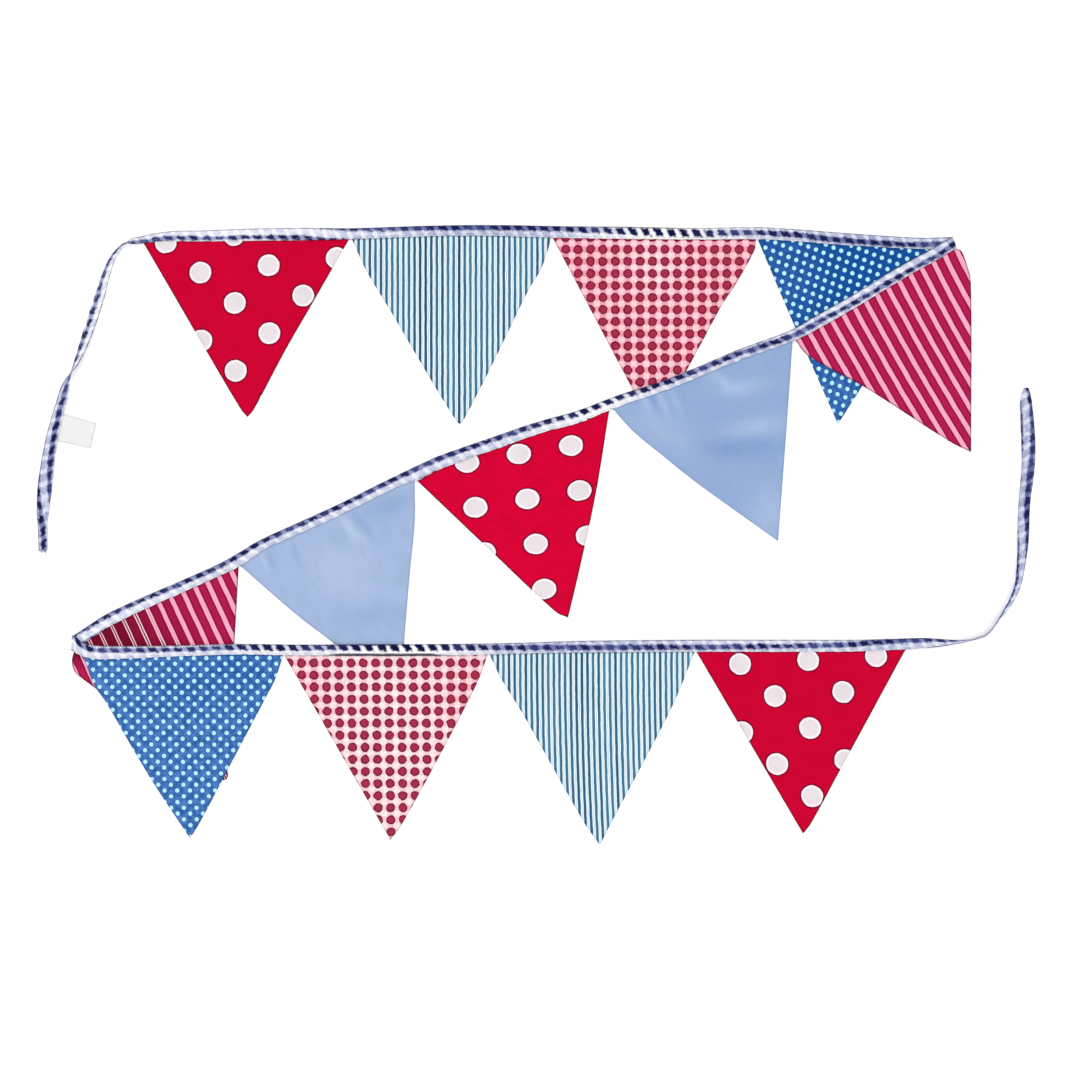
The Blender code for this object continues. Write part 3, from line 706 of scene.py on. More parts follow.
MOUTH_SHADE_LINES = (Patch((-150, -120), (90, 15), 1.3), Patch((125, 133), (25, 20), 0.8),
    Patch((400, -110), (30, 20), 0.8), Patch((490, 50), (30, 80), 0.8))
FOLD_SHADE_LINES = (Patch((-167, -108), (40, 10), 1), Patch((422, 292), (10, 12), 0.8),
    Patch((-474, -108), (12, 12), 0.9), Patch((98, 306), (50, 10), 0.5), Patch((105, 130), (35, 20), 0.5))


# --- Finishes ---

NOISE = "ShaderNodeTexNoise"
Socket = bpy.types.NodeSocket
MIX_COLOURS = {"factor": 0, "a": 6, "b": 7, "result": 2}


class NodeBench:
    """A new material's node tree, with one short method for each kind of step.

    SPECK_SPAN is the span of the noise's values that the specks use in full.
    """

    SPECK_SPAN = (0.3, 0.7)

    def __init__(self, name: str) -> None:
        """Start a material that has only its shader and its output."""
        self.material = bpy.data.materials.new(name)
        self.material.use_nodes = True
        self.tree = self.material.node_tree

    def feed(self, node: bpy.types.Node, inputs: dict) -> None:
        """Give a node's inputs, by name or number, their values or their links."""
        for name, value in inputs.items():
            if isinstance(value, Socket):
                self.tree.links.new(value, node.inputs[name])
            else:
                node.inputs[name].default_value = value

    def add(self, kind: str, inputs: dict, out: int | str = 0, **settings) -> Socket:
        """Add a node with its settings and links.

        Args:
            kind: The node's type name.
            inputs: What each input takes, by its name or number: a value or another socket.
            out: The output that is wanted, by its name or number.
            **settings: The node's own properties.

        Returns:
            The wanted output socket.
        """
        node = self.tree.nodes.new(kind)
        for name, value in settings.items():
            setattr(node, name, value)
        self.feed(node, inputs)
        return node.outputs[out]

    def shaded(self, inputs: dict) -> bpy.types.Material:
        """The finished material, once its shader has its inputs."""
        self.feed(self.tree.nodes["Principled BSDF"], inputs)
        return self.material

    def attribute(self, name: str) -> Socket:
        """A number that the mesh keeps at each vertex."""
        return self.add("ShaderNodeAttribute", {}, "Fac", attribute_name=name)

    def number(self, operation: str, *values: Socket | float) -> Socket:
        """The result of a calculation with one to three numbers."""
        return self.add("ShaderNodeMath", dict(enumerate(values)), operation=operation)

    def vector(self, operation: str, *values: Socket | tuple, out: int = 0) -> Socket:
        """The result of a calculation with vectors, or its plain number from output 1."""
        return self.add("ShaderNodeVectorMath", dict(enumerate(values)), out,
                        operation=operation)

    def scaled(self, value: Socket | tuple, scale: Socket) -> Socket:
        """A vector or a colour times a number."""
        return self.add("ShaderNodeVectorMath", {0: value, "Scale": scale}, operation="SCALE")

    def remap(self, value: Socket, span: Pair, ends: tuple[Socket | float, ...],
              kind: str = "LINEAR") -> Socket:
        """Turn a span of a number to another, and hold it at the ends.

        Args:
            value: The number.
            span: The two values that turn to the ends.
            ends: What they turn to.
            kind: The interpolation between them.

        Returns:
            The turned number.
        """
        inputs = {0: value, 1: span[0], 2: span[1], 3: ends[0], 4: ends[1]}
        return self.add("ShaderNodeMapRange", inputs, interpolation_type=kind)

    def mask(self, value: Socket, span: Pair, most: Socket | float = 1.0) -> Socket:
        """A smooth step from 0 at the span's start to most at its end."""
        return self.remap(value, span, (0.0, most), "SMOOTHSTEP")

    def inside(self, value: Socket, edge: float, soft: float, most: Socket | float = 1.0) -> Socket:
        """A mask that is at its most where the value is under the edge, which is this soft."""
        return self.mask(value, (edge + soft, edge - soft), most)

    def mixed(self, share: Socket | float, under: Socket | str, over: Socket | str) -> Socket:
        """Lay one colour over another.

        Args:
            share: How much of the upper colour shows.
            under: The lower colour, as a socket or an sRGB hex value.
            over: The upper colour, as a socket or an sRGB hex value.

        Returns:
            The combined colour.
        """
        under, over = (linear(c) if isinstance(c, str) else c for c in (under, over))
        inputs = {MIX_COLOURS["factor"]: share, MIX_COLOURS["a"]: under, MIX_COLOURS["b"]: over}
        return self.add("ShaderNodeMix", inputs, MIX_COLOURS["result"], data_type="RGBA")

    def speckled(self, colour: str, scale: float, detail: float, darkest: float) -> Socket:
        """Darken a colour in specks.

        Args:
            colour: The colour, as an sRGB hex value.
            scale: The scale of the specks' noise, and so how small they are.
            detail: The noise's detail.
            darkest: The share of the colour that is left in the darkest specks.

        Returns:
            The speckled colour.
        """
        place = self.add("ShaderNodeTexCoord", {}, "Object")
        grain = self.add(NOISE, {"Vector": place, "Scale": scale, "Detail": detail}, "Fac")
        return self.scaled(linear(colour)[:3], self.remap(grain, self.SPECK_SPAN, (darkest, 1.0)))


class ClothBench(NodeBench):
    """The node tree of a cloth.

    place is where it is on the flat cloth, in metres, and tone is 0 where the cloth has its
    pale colours and 1 where it has its deep ones; in places the tone is painted light and shade.
    ROUGHNESS is the noise's own, and WAVER_SPAN the span of its values that wavers use in full.
    """

    ROUGHNESS = 0.55
    WAVER_SPAN = (0.25, 0.75)

    def __init__(self, name: str) -> None:
        """Start the cloth's material with its place and its tone."""
        super().__init__(name)
        self.place = self.add("ShaderNodeUVMap", {}, uv_map=CLOTH_MAP)
        self.tone = self.attribute(TONE_AND_SHADE)

    def noise(self, size: Pair | float, detail: float = 2.0) -> Socket:
        """Make cloth-like noise.

        Args:
            size: The grains' size along and across the cloth, or one size for both.
            detail: The noise's detail.

        Returns:
            The noise, from 0 to 1.
        """
        along, across = size if isinstance(size, tuple) else (size, size)
        place = self.vector("MULTIPLY", self.place, (1.0 / along, 1.0 / across, 1.0))
        return self.add(NOISE, {"Vector": place, "Scale": 1.0, "Detail": detail,
                                "Roughness": self.ROUGHNESS}, "Fac")

    def axis(self, number: int, scale: float = 1.0) -> Socket:
        """One coordinate of the place on the cloth, times a scale: 0 for along, 1 for up."""
        place = self.vector("MULTIPLY", self.place, (scale, scale, 0.0))
        return self.add("ShaderNodeSeparateXYZ", {0: place}, number)

    def from_line(self, part: Socket, repeat: float) -> Socket:
        """The distance of a coordinate from the nearest of its evenly spaced lines."""
        return self.number("ABSOLUTE", self.number("WRAP", part, repeat / 2, -repeat / 2))

    def wavered(self, part: Socket, size: float, swing: float) -> Socket:
        """A coordinate or a distance that noise of the given size moves by up to the swing."""
        return self.number("ADD", part, self.remap(self.noise(size), self.WAVER_SPAN,
                                                   (-swing, swing)))


@dataclass(frozen=True)
class ClothFinish:
    """A woven cloth. Subclasses print it.

    thread_pitch is the real distance between threads, and streak is the width and length of
    their unevenness, which is coarser because a thread is finer than a pixel of the picture.
    slub and blotch are how much the threads and the cloth's soft patches lighten and darken it,
    and relief is the height of the weave in the bump. edge_shade_colour is a painted shade line
    along a turned edge, edge_shade_on_pale is the share of it that shows on pale print, and
    tuck_shade_strength is the strength of the painted shade where the cloth goes into the tape.
    The line is broken, down to faintest of its strength. A span is the two values between which
    an effect sets in. first and second are the print's repeats.
    """

    title: str
    first: Pair = (0.010, 0.0)
    second: Pair = (0.0, 0.010)
    thread_pitch: float = 0.0005
    streak: Pair = (0.0016, 0.022)
    relief: float = 0.00010
    slub: float = 0.05
    slub_span: Pair = (0.6, 1.4)
    slub_height: float = 0.35
    blotch: float = 0.04
    blotch_size: float = 0.035
    blotch_span: Pair = (0.3, 0.7)
    blotch_detail: float = 3.0
    roughness: float = 0.88
    sheen: float = 0.02
    specular: float = 0.03
    # Painted shade: a dark line along the turned edge, and another where the cloth goes into the tape.
    edge_shade_colour: str = "#2A2A36"
    edge_shade_width: float = 0.0012
    edge_shade_strength: float = 0.6
    edge_shade_on_pale: float = 1.0
    bold_edge_shade: float = 0.0006
    tuck_shade_strength: float = 0.6
    tuck_shade_span: Pair = (0.45, 1.0)
    pale_span: Pair = (0.2, 0.8)
    break_size: float = 0.006
    break_span: Pair = (0.3, 0.6)
    faintest: float = 0.45

    def to_cloth(self, repeats: tuple[float, float]) -> Vector:
        """The place on the flat cloth, in metres, of a number of repeats of its print."""
        return Vector(self.first) * repeats[0] + Vector(self.second) * repeats[1]

    def printed(self, bench: ClothBench) -> Socket:
        """Draw the print.

        Args:
            bench: The cloth's bench.

        Returns:
            The colour of the print.
        """
        raise NotImplementedError

    def threads(self, bench: ClothBench) -> tuple[Socket, Socket]:
        """Draw the cloth's threads.

        Args:
            bench: The cloth's bench.

        Returns:
            How light the uneven threads along and across the cloth are, and the weave's height.
        """
        slub = bench.number("ADD", bench.noise(self.streak), bench.noise(self.streak[::-1]))
        turns = math.pi / self.thread_pitch
        waves = (bench.number("SINE", bench.axis(number, turns)) for number in (0, 1))
        return slub, bench.number("MULTIPLY", *waves)

    def shade_edges(self, bench: ClothBench, colour: Socket) -> Socket:
        """Paint shade along the cloth's turned edge and where it goes into the tape.

        Args:
            bench: The cloth's bench.
            colour: The cloth's colour.

        Returns:
            The colour with its broken lines of painted shade, which are unbroken where they are bold.
        """
        # Paint the shade lines along the edge and at the tape's mouth, and the boldest shade right at the
        # edge.
        edge, tuck_shading = bench.attribute(FROM_EDGE), bench.attribute(TUCK_SHADE)
        paleness = bench.add("ShaderNodeSeparateColor", {0: colour}, 1)
        shows = bench.remap(paleness, self.pale_span, (1.0, self.edge_shade_on_pale))
        for value, span, strength in (
                (edge, (self.edge_shade_width, self.edge_shade_width / 2), self.edge_shade_strength),
                (tuck_shading, self.tuck_shade_span, self.tuck_shade_strength)):
            broken = bench.remap(bench.noise(self.break_size), self.break_span,
                                 (strength * self.faintest, strength))
            line = bench.mask(value, span, bench.number("MULTIPLY", broken, shows))
            colour = bench.mixed(line, colour, self.edge_shade_colour)
        boldest = bench.mask(edge, (0.0, -self.bold_edge_shade))
        return bench.mixed(boldest, colour, self.edge_shade_colour)

    def dress(self) -> bpy.types.Material:
        """Make the cloth's material.

        Returns:
            The material: its print, painted shade along the turned edge, uneven threads and the weave.
        """
        bench = ClothBench(self.title)
        slub, weave = self.threads(bench)
        patches = bench.noise(self.blotch_size, self.blotch_detail)
        lightness = bench.number("MULTIPLY", *(
            bench.remap(value, span, (1.0 - most, 1.0 + most)) for value, span, most in (
                (slub, self.slub_span, self.slub), (patches, self.blotch_span, self.blotch))))
        colour = self.shade_edges(bench, bench.scaled(self.printed(bench), lightness))
        height = bench.number("MULTIPLY_ADD", slub, self.slub_height, weave)
        bump = {"Strength": 1.0, "Distance": self.relief, "Height": height}
        bench.material.diffuse_color = linear(self.edge_shade_colour)
        return bench.shaded({
            "Base Color": colour, "Normal": bench.add("ShaderNodeBump", bump),
            "Roughness": self.roughness, "Sheen Weight": self.sheen,
            "Specular IOR Level": self.specular})


@dataclass(frozen=True)
class PlainCloth(ClothFinish):
    """Cloth of one colour, with soft lighter and darker patches that are partly painted fold shade and
    highlights.

    blotches_and_fold_shade lists the size and the strength of the greyer clouds and streaks that
    hang from the tape, partly uneven colour and partly painted shade of the soft folds.
    """

    light: str = "#C0CFEC"
    deep: str = "#819FCF"
    # grey is the colour of the clouds, partly painted shade of the soft folds.
    grey: str = "#94AECB"
    blotches_and_fold_shade: tuple[tuple[Pair, float], ...] = (((0.040, 0.030), 0.30), ((0.008, 0.034), 0.25))
    blotch_and_shade_span: Pair = (0.42, 0.72)

    def printed(self, bench: ClothBench) -> Socket:
        """Mix the two shades by the tone, with the grey clouds of uneven colour and painted fold shade
        over them.
        """
        colour = bench.mixed(bench.tone, self.light, self.deep)
        for size, share in self.blotches_and_fold_shade:
            blotch_and_shade = bench.mask(bench.noise(size, 1.0), self.blotch_and_shade_span, share)
            colour = bench.mixed(blotch_and_shade, colour, self.grey)
        return colour


@dataclass(frozen=True)
class Ring:
    """One colour of a dot, from a radius inwards."""

    radius: float
    colour: str


@dataclass(frozen=True)
class DottedCloth(ClothFinish):
    """Cloth printed with round dots on a regular lattice.

    rings lists each dot's colours from its dark rim to its middle. wobble is how far the hand
    of the dye takes an outline from a circle.
    """

    ground: str = "#D20032"
    mottled: str = "#DA0036"
    mottle_size: float = 0.020
    mottle_span: Pair = (0.38, 0.64)
    deep: str = "#C8002F"
    rings: tuple[Ring, ...] = (
        Ring(0.0125, "#820030"), Ring(0.0109, "#FFF2F6"), Ring(0.0088, "#E8E0E4"))
    wobble: float = 0.0004
    wobble_size: float = 0.008
    softness: float = 0.0003

    def lattice_distance(self, bench: ClothBench) -> Socket:
        """The distance from the nearest dot's middle, out of round where the pennant pulls.

        Args:
            bench: The cloth's bench.

        Returns:
            The distance on the cloth.
        """
        scale = self.first[0] * self.second[1] - self.first[1] * self.second[0]
        duals = ((self.second[1] / scale, -self.second[0] / scale, 0.0),
                 (-self.first[1] / scale, self.first[0] / scale, 0.0))
        parts = []
        for dual, step in zip(duals, (self.first, self.second)):
            share = bench.vector("DOT_PRODUCT", bench.place, dual, out=1)
            share = bench.number("WRAP", share, 0.5, -0.5)
            parts.append(bench.scaled((*step, 0.0), share))
        oval = bench.attribute(OVAL)
        pull = (bench.number("MULTIPLY_ADD", oval, sign, 1.0) for sign in (1.0, -1.0))
        pulled = bench.vector("MULTIPLY", bench.vector("ADD", *parts),
                              bench.add("ShaderNodeCombineXYZ", dict(enumerate(pull))))
        return bench.vector("LENGTH", pulled, out=1)

    def ground_colour(self, bench: ClothBench) -> Socket:
        """The mottled colour between the dots."""
        grain = bench.mask(bench.noise(self.mottle_size), self.mottle_span)
        colour = bench.mixed(grain, self.ground, self.mottled)
        return bench.mixed(bench.tone, colour, self.deep)

    def printed(self, bench: ClothBench) -> Socket:
        """Lay each ring of the dots over the ground."""
        distance = bench.wavered(self.lattice_distance(bench), self.wobble_size, self.wobble)
        colour = self.ground_colour(bench)
        for ring in self.rings:
            inside = bench.inside(distance, ring.radius, self.softness)
            colour = bench.mixed(inside, colour, ring.colour)
        return colour


@dataclass(frozen=True)
class ChequeredDotCloth(DottedCloth):
    """Pale cloth with pink bands that cross under each dark dot."""

    band: str = "#F08CA2"
    band_width: float = 0.0062
    band_softness: float = 0.0009
    band_strength: Pair = (0.25, 0.85)

    def ground_colour(self, bench: ClothBench) -> Socket:
        """Lay the two sets of soft bands over the ground, stronger where the tone is deep."""
        colour = super().ground_colour(bench)
        strength = bench.remap(bench.tone, (0.0, 1.0), self.band_strength)
        for axis, repeat in ((0, self.first[0]), (1, self.second[1])):
            away = bench.from_line(bench.axis(axis), repeat)
            share = bench.inside(away, self.band_width / 2, self.band_softness, strength)
            colour = bench.mixed(share, colour, self.band)
        return colour


@dataclass(frozen=True)
class TickingCloth(ClothFinish):
    """Blue ticking: a dark line, a white line and a wide pale band in each repeat.

    No two dark lines are equally strong, because the threads took the dye unevenly. fading is
    how grey they are at least and at most, and pale_fading how much greyer at a pale tone.
    """

    deep: str = "#123E60"
    grey: str = "#4C7C9A"
    white: str = "#F4FEFF"
    pale: str = "#BCE4FC"
    line_width: float = 0.0028
    line_softness: float = 0.0003
    white_width: float = 0.0009
    white_softness: float = 0.0002
    waviness: float = 0.00025
    wave_size: float = 0.012
    fade_size: Pair = (0.004, 0.030)
    fade_span: Pair = (0.0, 0.45)
    fading: Pair = (0.15, 1.0)
    pale_fading: float = 0.50

    def printed(self, bench: ClothBench) -> Socket:
        """Lay the white and the dark line over the pale band."""
        repeat = self.first[0]
        part = bench.wavered(bench.axis(0), self.wave_size, self.waviness)
        number = bench.number("ROUND", bench.number("DIVIDE", part, repeat))
        chance = bench.add("ShaderNodeTexWhiteNoise", {"W": number}, noise_dimensions="1D")
        fading = bench.number("MULTIPLY", chance, bench.noise(self.fade_size))
        fading = bench.remap(fading, self.fade_span, self.fading)
        shade = bench.mixed(fading, self.deep, self.grey)
        greyer = bench.remap(bench.tone, (0.0, 1.0), (self.pale_fading, 0.0))
        shade = bench.mixed(greyer, shade, self.grey)
        away = bench.from_line(part, repeat)
        line = self.line_width / 2
        white = bench.inside(away, line + self.white_width, self.white_softness)
        colour = bench.mixed(white, self.pale, self.white)
        return bench.mixed(bench.inside(away, line, self.line_softness), colour, shade)


@dataclass(frozen=True)
class StripedCloth(ClothFinish):
    """Wide stripes of two colours, the darker one deeper along its edges.

    Where the tone is deep, which is in part painted shade, the stripes are wine red and wider by up
    to twice the swelling, and a thin line parts the paler band.
    """

    stripe: str = "#BA1C52"
    stripe_edge: str = "#7C0432"
    ground: str = "#FFA8C8"
    deep: str = "#760A2A"
    deep_ground: str = "#FFD8EA"
    stripe_width: float = 0.0080
    edge_span: Pair = (0.0004, 0.0019)
    deepest_span: Pair = (0.45, 0.75)
    softness: float = 0.0002
    swelling: float = 0.0009
    line_width: float = 0.0007
    line_softness: float = 0.0003
    waviness: float = 0.0003
    wave_size: float = 0.016

    def printed(self, bench: ClothBench) -> Socket:
        """Lay the dark stripe over the ground."""
        part = bench.wavered(bench.axis(0), self.wave_size, self.waviness)
        away = bench.from_line(part, self.first[0])
        swollen = bench.number("MULTIPLY_ADD", bench.tone, -self.swelling, away)
        half = self.stripe_width / 2
        deepest = bench.mask(bench.tone, self.deepest_span)
        middle = bench.mask(swollen, (half - self.edge_span[0], half - self.edge_span[1]))
        stripe = bench.mixed(middle, self.stripe_edge, self.stripe)
        stripe = bench.mixed(bench.tone, stripe, self.deep)
        ground = bench.mixed(deepest, self.ground, self.deep_ground)
        parted = self.first[0] / 2 - self.line_width
        line = bench.inside(away, parted, -self.line_softness, deepest)
        ground = bench.mixed(line, ground, self.deep)
        return bench.mixed(bench.inside(swollen, half, self.softness), ground, stripe)


@dataclass(frozen=True)
class GinghamCloth(ClothFinish):
    """Woven check: white where no band passes, navy where two bands cross.

    The bands across the tape are wider than the ones along it, which the sewn strip's puffed
    leaf hides in part. slant is how far off the straight grain the strip was cut, and thinning
    is how much narrower the navy rows get where the tone is pale. Where the check is crisp they
    are wider by twice the crisp swelling, near black on plain white. Each pair of colours is
    the one where the tone is pale and the one where it is deep.
    """

    white: tuple[str, str] = ("#FFFFFF", "#D8DDEE")
    band: tuple[str, str] = ("#DCDEF4", "#99A2CB")
    middle: tuple[str, str] = ("#A4A8D2", "#5F699E")
    navy: str = "#191D52"
    faded_navy: str = "#4A5290"
    crisp_navy: str = "#0C1246"
    across_share: float = 0.64
    along_share: float = 0.47
    slant: float = -0.45
    softness: float = 0.0012
    waviness: float = 0.0013
    wave_size: float = 0.0042
    thinning: float = 0.0008
    crisp_swelling: float = 0.0018
    fade_size: Pair = (0.014, 0.005)
    fade_span: Pair = (0.40, 0.65)
    fading: float = 0.6
    wash_size: float = 0.050
    wash_span: Pair = (0.45, 0.60)
    washing: float = 0.7

    def bands(self, bench: ClothBench, thinner: Socket) -> list[Socket]:
        """Draw the two sets of dyed threads.

        Args:
            bench: The cloth's bench.
            thinner: By how much each row along the tape is narrower, on either side.

        Returns:
            Masks of the bands across the tape and of the rows along it.
        """
        up = bench.axis(1)
        along = bench.number("MULTIPLY_ADD", up, self.slant, bench.axis(0))
        masks = []
        for part, share, less in (
                (along, self.across_share, 0.0), (up, self.along_share, thinner)):
            part = bench.wavered(part, self.wave_size, self.waviness)
            away = bench.number("ADD", bench.from_line(part, GINGHAM_REPEAT), less)
            masks.append(bench.inside(away, GINGHAM_REPEAT * share / 2, self.softness))
        return masks

    def printed(self, bench: ClothBench) -> Socket:
        """Cross the two sets of bands, with the middle tone and the navy paler in soft patches."""
        crisp = bench.attribute(CRISP)
        thinner = bench.remap(bench.tone, (0.0, 1.0), (self.thinning, 0.0))
        thinner = bench.number("MULTIPLY_ADD", crisp, -self.crisp_swelling, thinner)
        across, rows = self.bands(bench, thinner)
        white, band, middle = (
            bench.mixed(bench.tone, *pair) for pair in (self.white, self.band, self.middle))
        faded = bench.mask(bench.noise(self.fade_size), self.fade_span, self.fading)
        band = bench.mixed(faded, band, white)
        washed = bench.mask(bench.noise(self.wash_size), self.wash_span, self.washing)
        navy = bench.mixed(washed, self.navy, self.faded_navy)
        white, band, middle = (
            bench.mixed(crisp, colour, self.white[0]) for colour in (white, band, middle))
        navy = bench.mixed(crisp, navy, self.crisp_navy)
        light_row = bench.mixed(across, white, band)
        return bench.mixed(rows, light_row, bench.mixed(across, middle, navy))


@dataclass(frozen=True)
class SatinFinish(ClothFinish):
    """White polyester satin ribbon: it gives the label a smooth, slightly glossy white."""

    white: str = "#F1F1F1"
    grey: str = "#EAEBE9"
    streak_size: Pair = (0.0012, 0.020)
    streak_span: Pair = (0.4, 0.7)

    def printed(self, bench: ClothBench) -> Socket:
        """A white with the faintest grey streaks."""
        streaks = bench.mask(bench.noise(self.streak_size), self.streak_span)
        return bench.mixed(streaks, self.white, self.grey)


# Cotton poplin and lawn: matt, with a fine plain weave, printed with dye that leaves the
# threads visible. The plain blue is a smoother sateen that catches soft lights.
# Each finish's edge and tuck settings paint a line of shade along its turned edges and at the tape.
FINISHES: dict[Cloth, ClothFinish] = {
    Cloth.GINGHAM: GinghamCloth(
        "Navy gingham cotton binding", edge_shade_colour="#1C1E3A", edge_shade_strength=0.75,
        edge_shade_width=0.0011),
    Cloth.RED_SPOT: DottedCloth(
        "Red spotted cotton poplin", (0.0468, 0.0), (0.0, 0.0505), edge_shade_colour="#5A0418",
        edge_shade_strength=0.9, edge_shade_width=0.0015, edge_shade_on_pale=0.05, softness=0.0002),
    Cloth.TICKING: TickingCloth(
        "Blue ticking cotton", (0.0056, 0.0), (0.0, 0.0056), edge_shade_colour="#0A2A40",
        edge_shade_strength=0.1, tuck_shade_strength=0.5),
    Cloth.PINK_DOT: ChequeredDotCloth(
        "Pink dotted cotton lawn", (0.0124, 0.0), (0.0, 0.01205), ground="#FFF0F2",
        mottled="#F6DCE0", mottle_size=0.005, deep="#FCCBD4",
        rings=(Ring(0.0046, "#70082C"), Ring(0.0034, "#A62E4A")), wobble=0.0007,
        wobble_size=0.0050, edge_shade_colour="#601028", edge_shade_strength=0.7, edge_shade_on_pale=0.3),
    Cloth.PIN_DOT: DottedCloth(
        "Blue pin dot cotton poplin", (0.0084, 0.0), (-0.00095, 0.00835), ground="#3266A8",
        mottled="#5684CC", mottle_size=0.006, deep="#0C4E98",
        rings=(Ring(0.0027, "#2058A4"), Ring(0.0021, "#BAF0FF")), wobble=0.0002,
        wobble_size=0.004, edge_shade_colour="#14305C", edge_shade_strength=0.6, edge_shade_on_pale=0.1),
    Cloth.CRIMSON_STRIPE: StripedCloth(
        "Crimson and pink striped cotton", (0.0129, 0.0), (0.0, 0.0129), edge_shade_colour="#4A0420",
        edge_shade_strength=0.9, edge_shade_width=0.0015, edge_shade_on_pale=0.4),
    Cloth.PLAIN_BLUE: PlainCloth(
        "Pale blue cotton sateen", roughness=0.6, specular=0.12, slub=0.015, blotch=0.02,
        edge_shade_colour="#5A6E90", edge_shade_strength=0.25, tuck_shade_strength=0.35),
    Cloth.LABEL: SatinFinish(
        "White satin ribbon", roughness=0.42, specular=0.3, sheen=0.1, slub=0.005, blotch=0.01,
        edge_shade_colour="#D2D4D2", edge_shade_strength=0.6, edge_shade_width=0.0009),
}


@dataclass(frozen=True)
class ThreadFinish:
    """Spun polyester sewing thread: matt white, with its twist just visible."""

    title: str = "White sewing thread"
    colour: str = "#DCDDF0"
    roughness: float = 0.7
    sheen: float = 0.1
    twist_scale: float = 900.0
    darkest: float = 0.82

    def dress(self) -> bpy.types.Material:
        """Make the thread's material.

        Returns:
            The material, with slight grey variation along the thread.
        """
        bench = NodeBench(self.title)
        return bench.shaded({
            "Base Color": bench.speckled(self.colour, self.twist_scale, 1.0, self.darkest),
            "Roughness": self.roughness, "Sheen Weight": self.sheen})


# --- Pieces ---

def add_piece(name: str, editor: bmesh.types.BMesh, material: bpy.types.Material,
              nodes: Sequence[str] = ()) -> bpy.types.Object:
    """Turn an edited mesh into a piece that rides with the bunting.

    Args:
        name: The piece's name.
        editor: The edited mesh, which is freed.
        material: Its material.
        nodes: The CAD nodes that the piece stands for.

    Returns:
        The piece's object.
    """
    bmesh.ops.recalc_face_normals(editor, faces=editor.faces[:])
    piece = add_object(name, editor, material)
    piece.data.shade_smooth()
    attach(piece, BODY)
    if nodes:
        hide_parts(*nodes)
    return piece


def add_object(name: str, editor: bmesh.types.BMesh,
               material: bpy.types.Material) -> bpy.types.Object:
    """Turn an edited mesh into an object.

    Args:
        name: The object's name.
        editor: The edited mesh, which is freed.
        material: Its material.

    Returns:
        The object, which is in the scene.
    """
    mesh = bpy.data.meshes.new(name)
    editor.to_mesh(mesh)
    editor.free()
    mesh.materials.append(material)
    return link(name, mesh)


def link(name: str, data: bpy.types.ID) -> bpy.types.Object:
    """Put a new object into the scene."""
    obj = bpy.data.objects.new(name, data)
    bpy.context.scene.collection.objects.link(obj)
    return obj


def unwrap(editor: bmesh.types.BMesh, flat: dict[bmesh.types.BMVert, Iterable[float]]) -> None:
    """Map the print onto the cloth.

    Args:
        editor: The cloth's mesh.
        flat: The place of each vertex on the flat cloth, in metres.
    """
    cloth = editor.loops.layers.uv.new(CLOTH_MAP)
    for face in editor.faces:
        for loop in face.loops:
            loop[cloth].uv = flat[loop.vert]


def thicken(obj: bpy.types.Object, thickness: float, group: str = "",
            thinnest: float = 0.0) -> None:
    """Give a sheet its thickness, half to each side.

    Args:
        obj: The sheet.
        thickness: Its thickness in metres.
        group: The vertex group that thins it, if any.
        thinnest: The share of the thickness that is left where the group is 0.
    """
    solid = obj.modifiers.new("Cloth thickness", "SOLIDIFY")
    solid.thickness = thickness
    solid.offset = 0.0
    if group:
        solid.vertex_group = group
        solid.thickness_vertex_group = thinnest


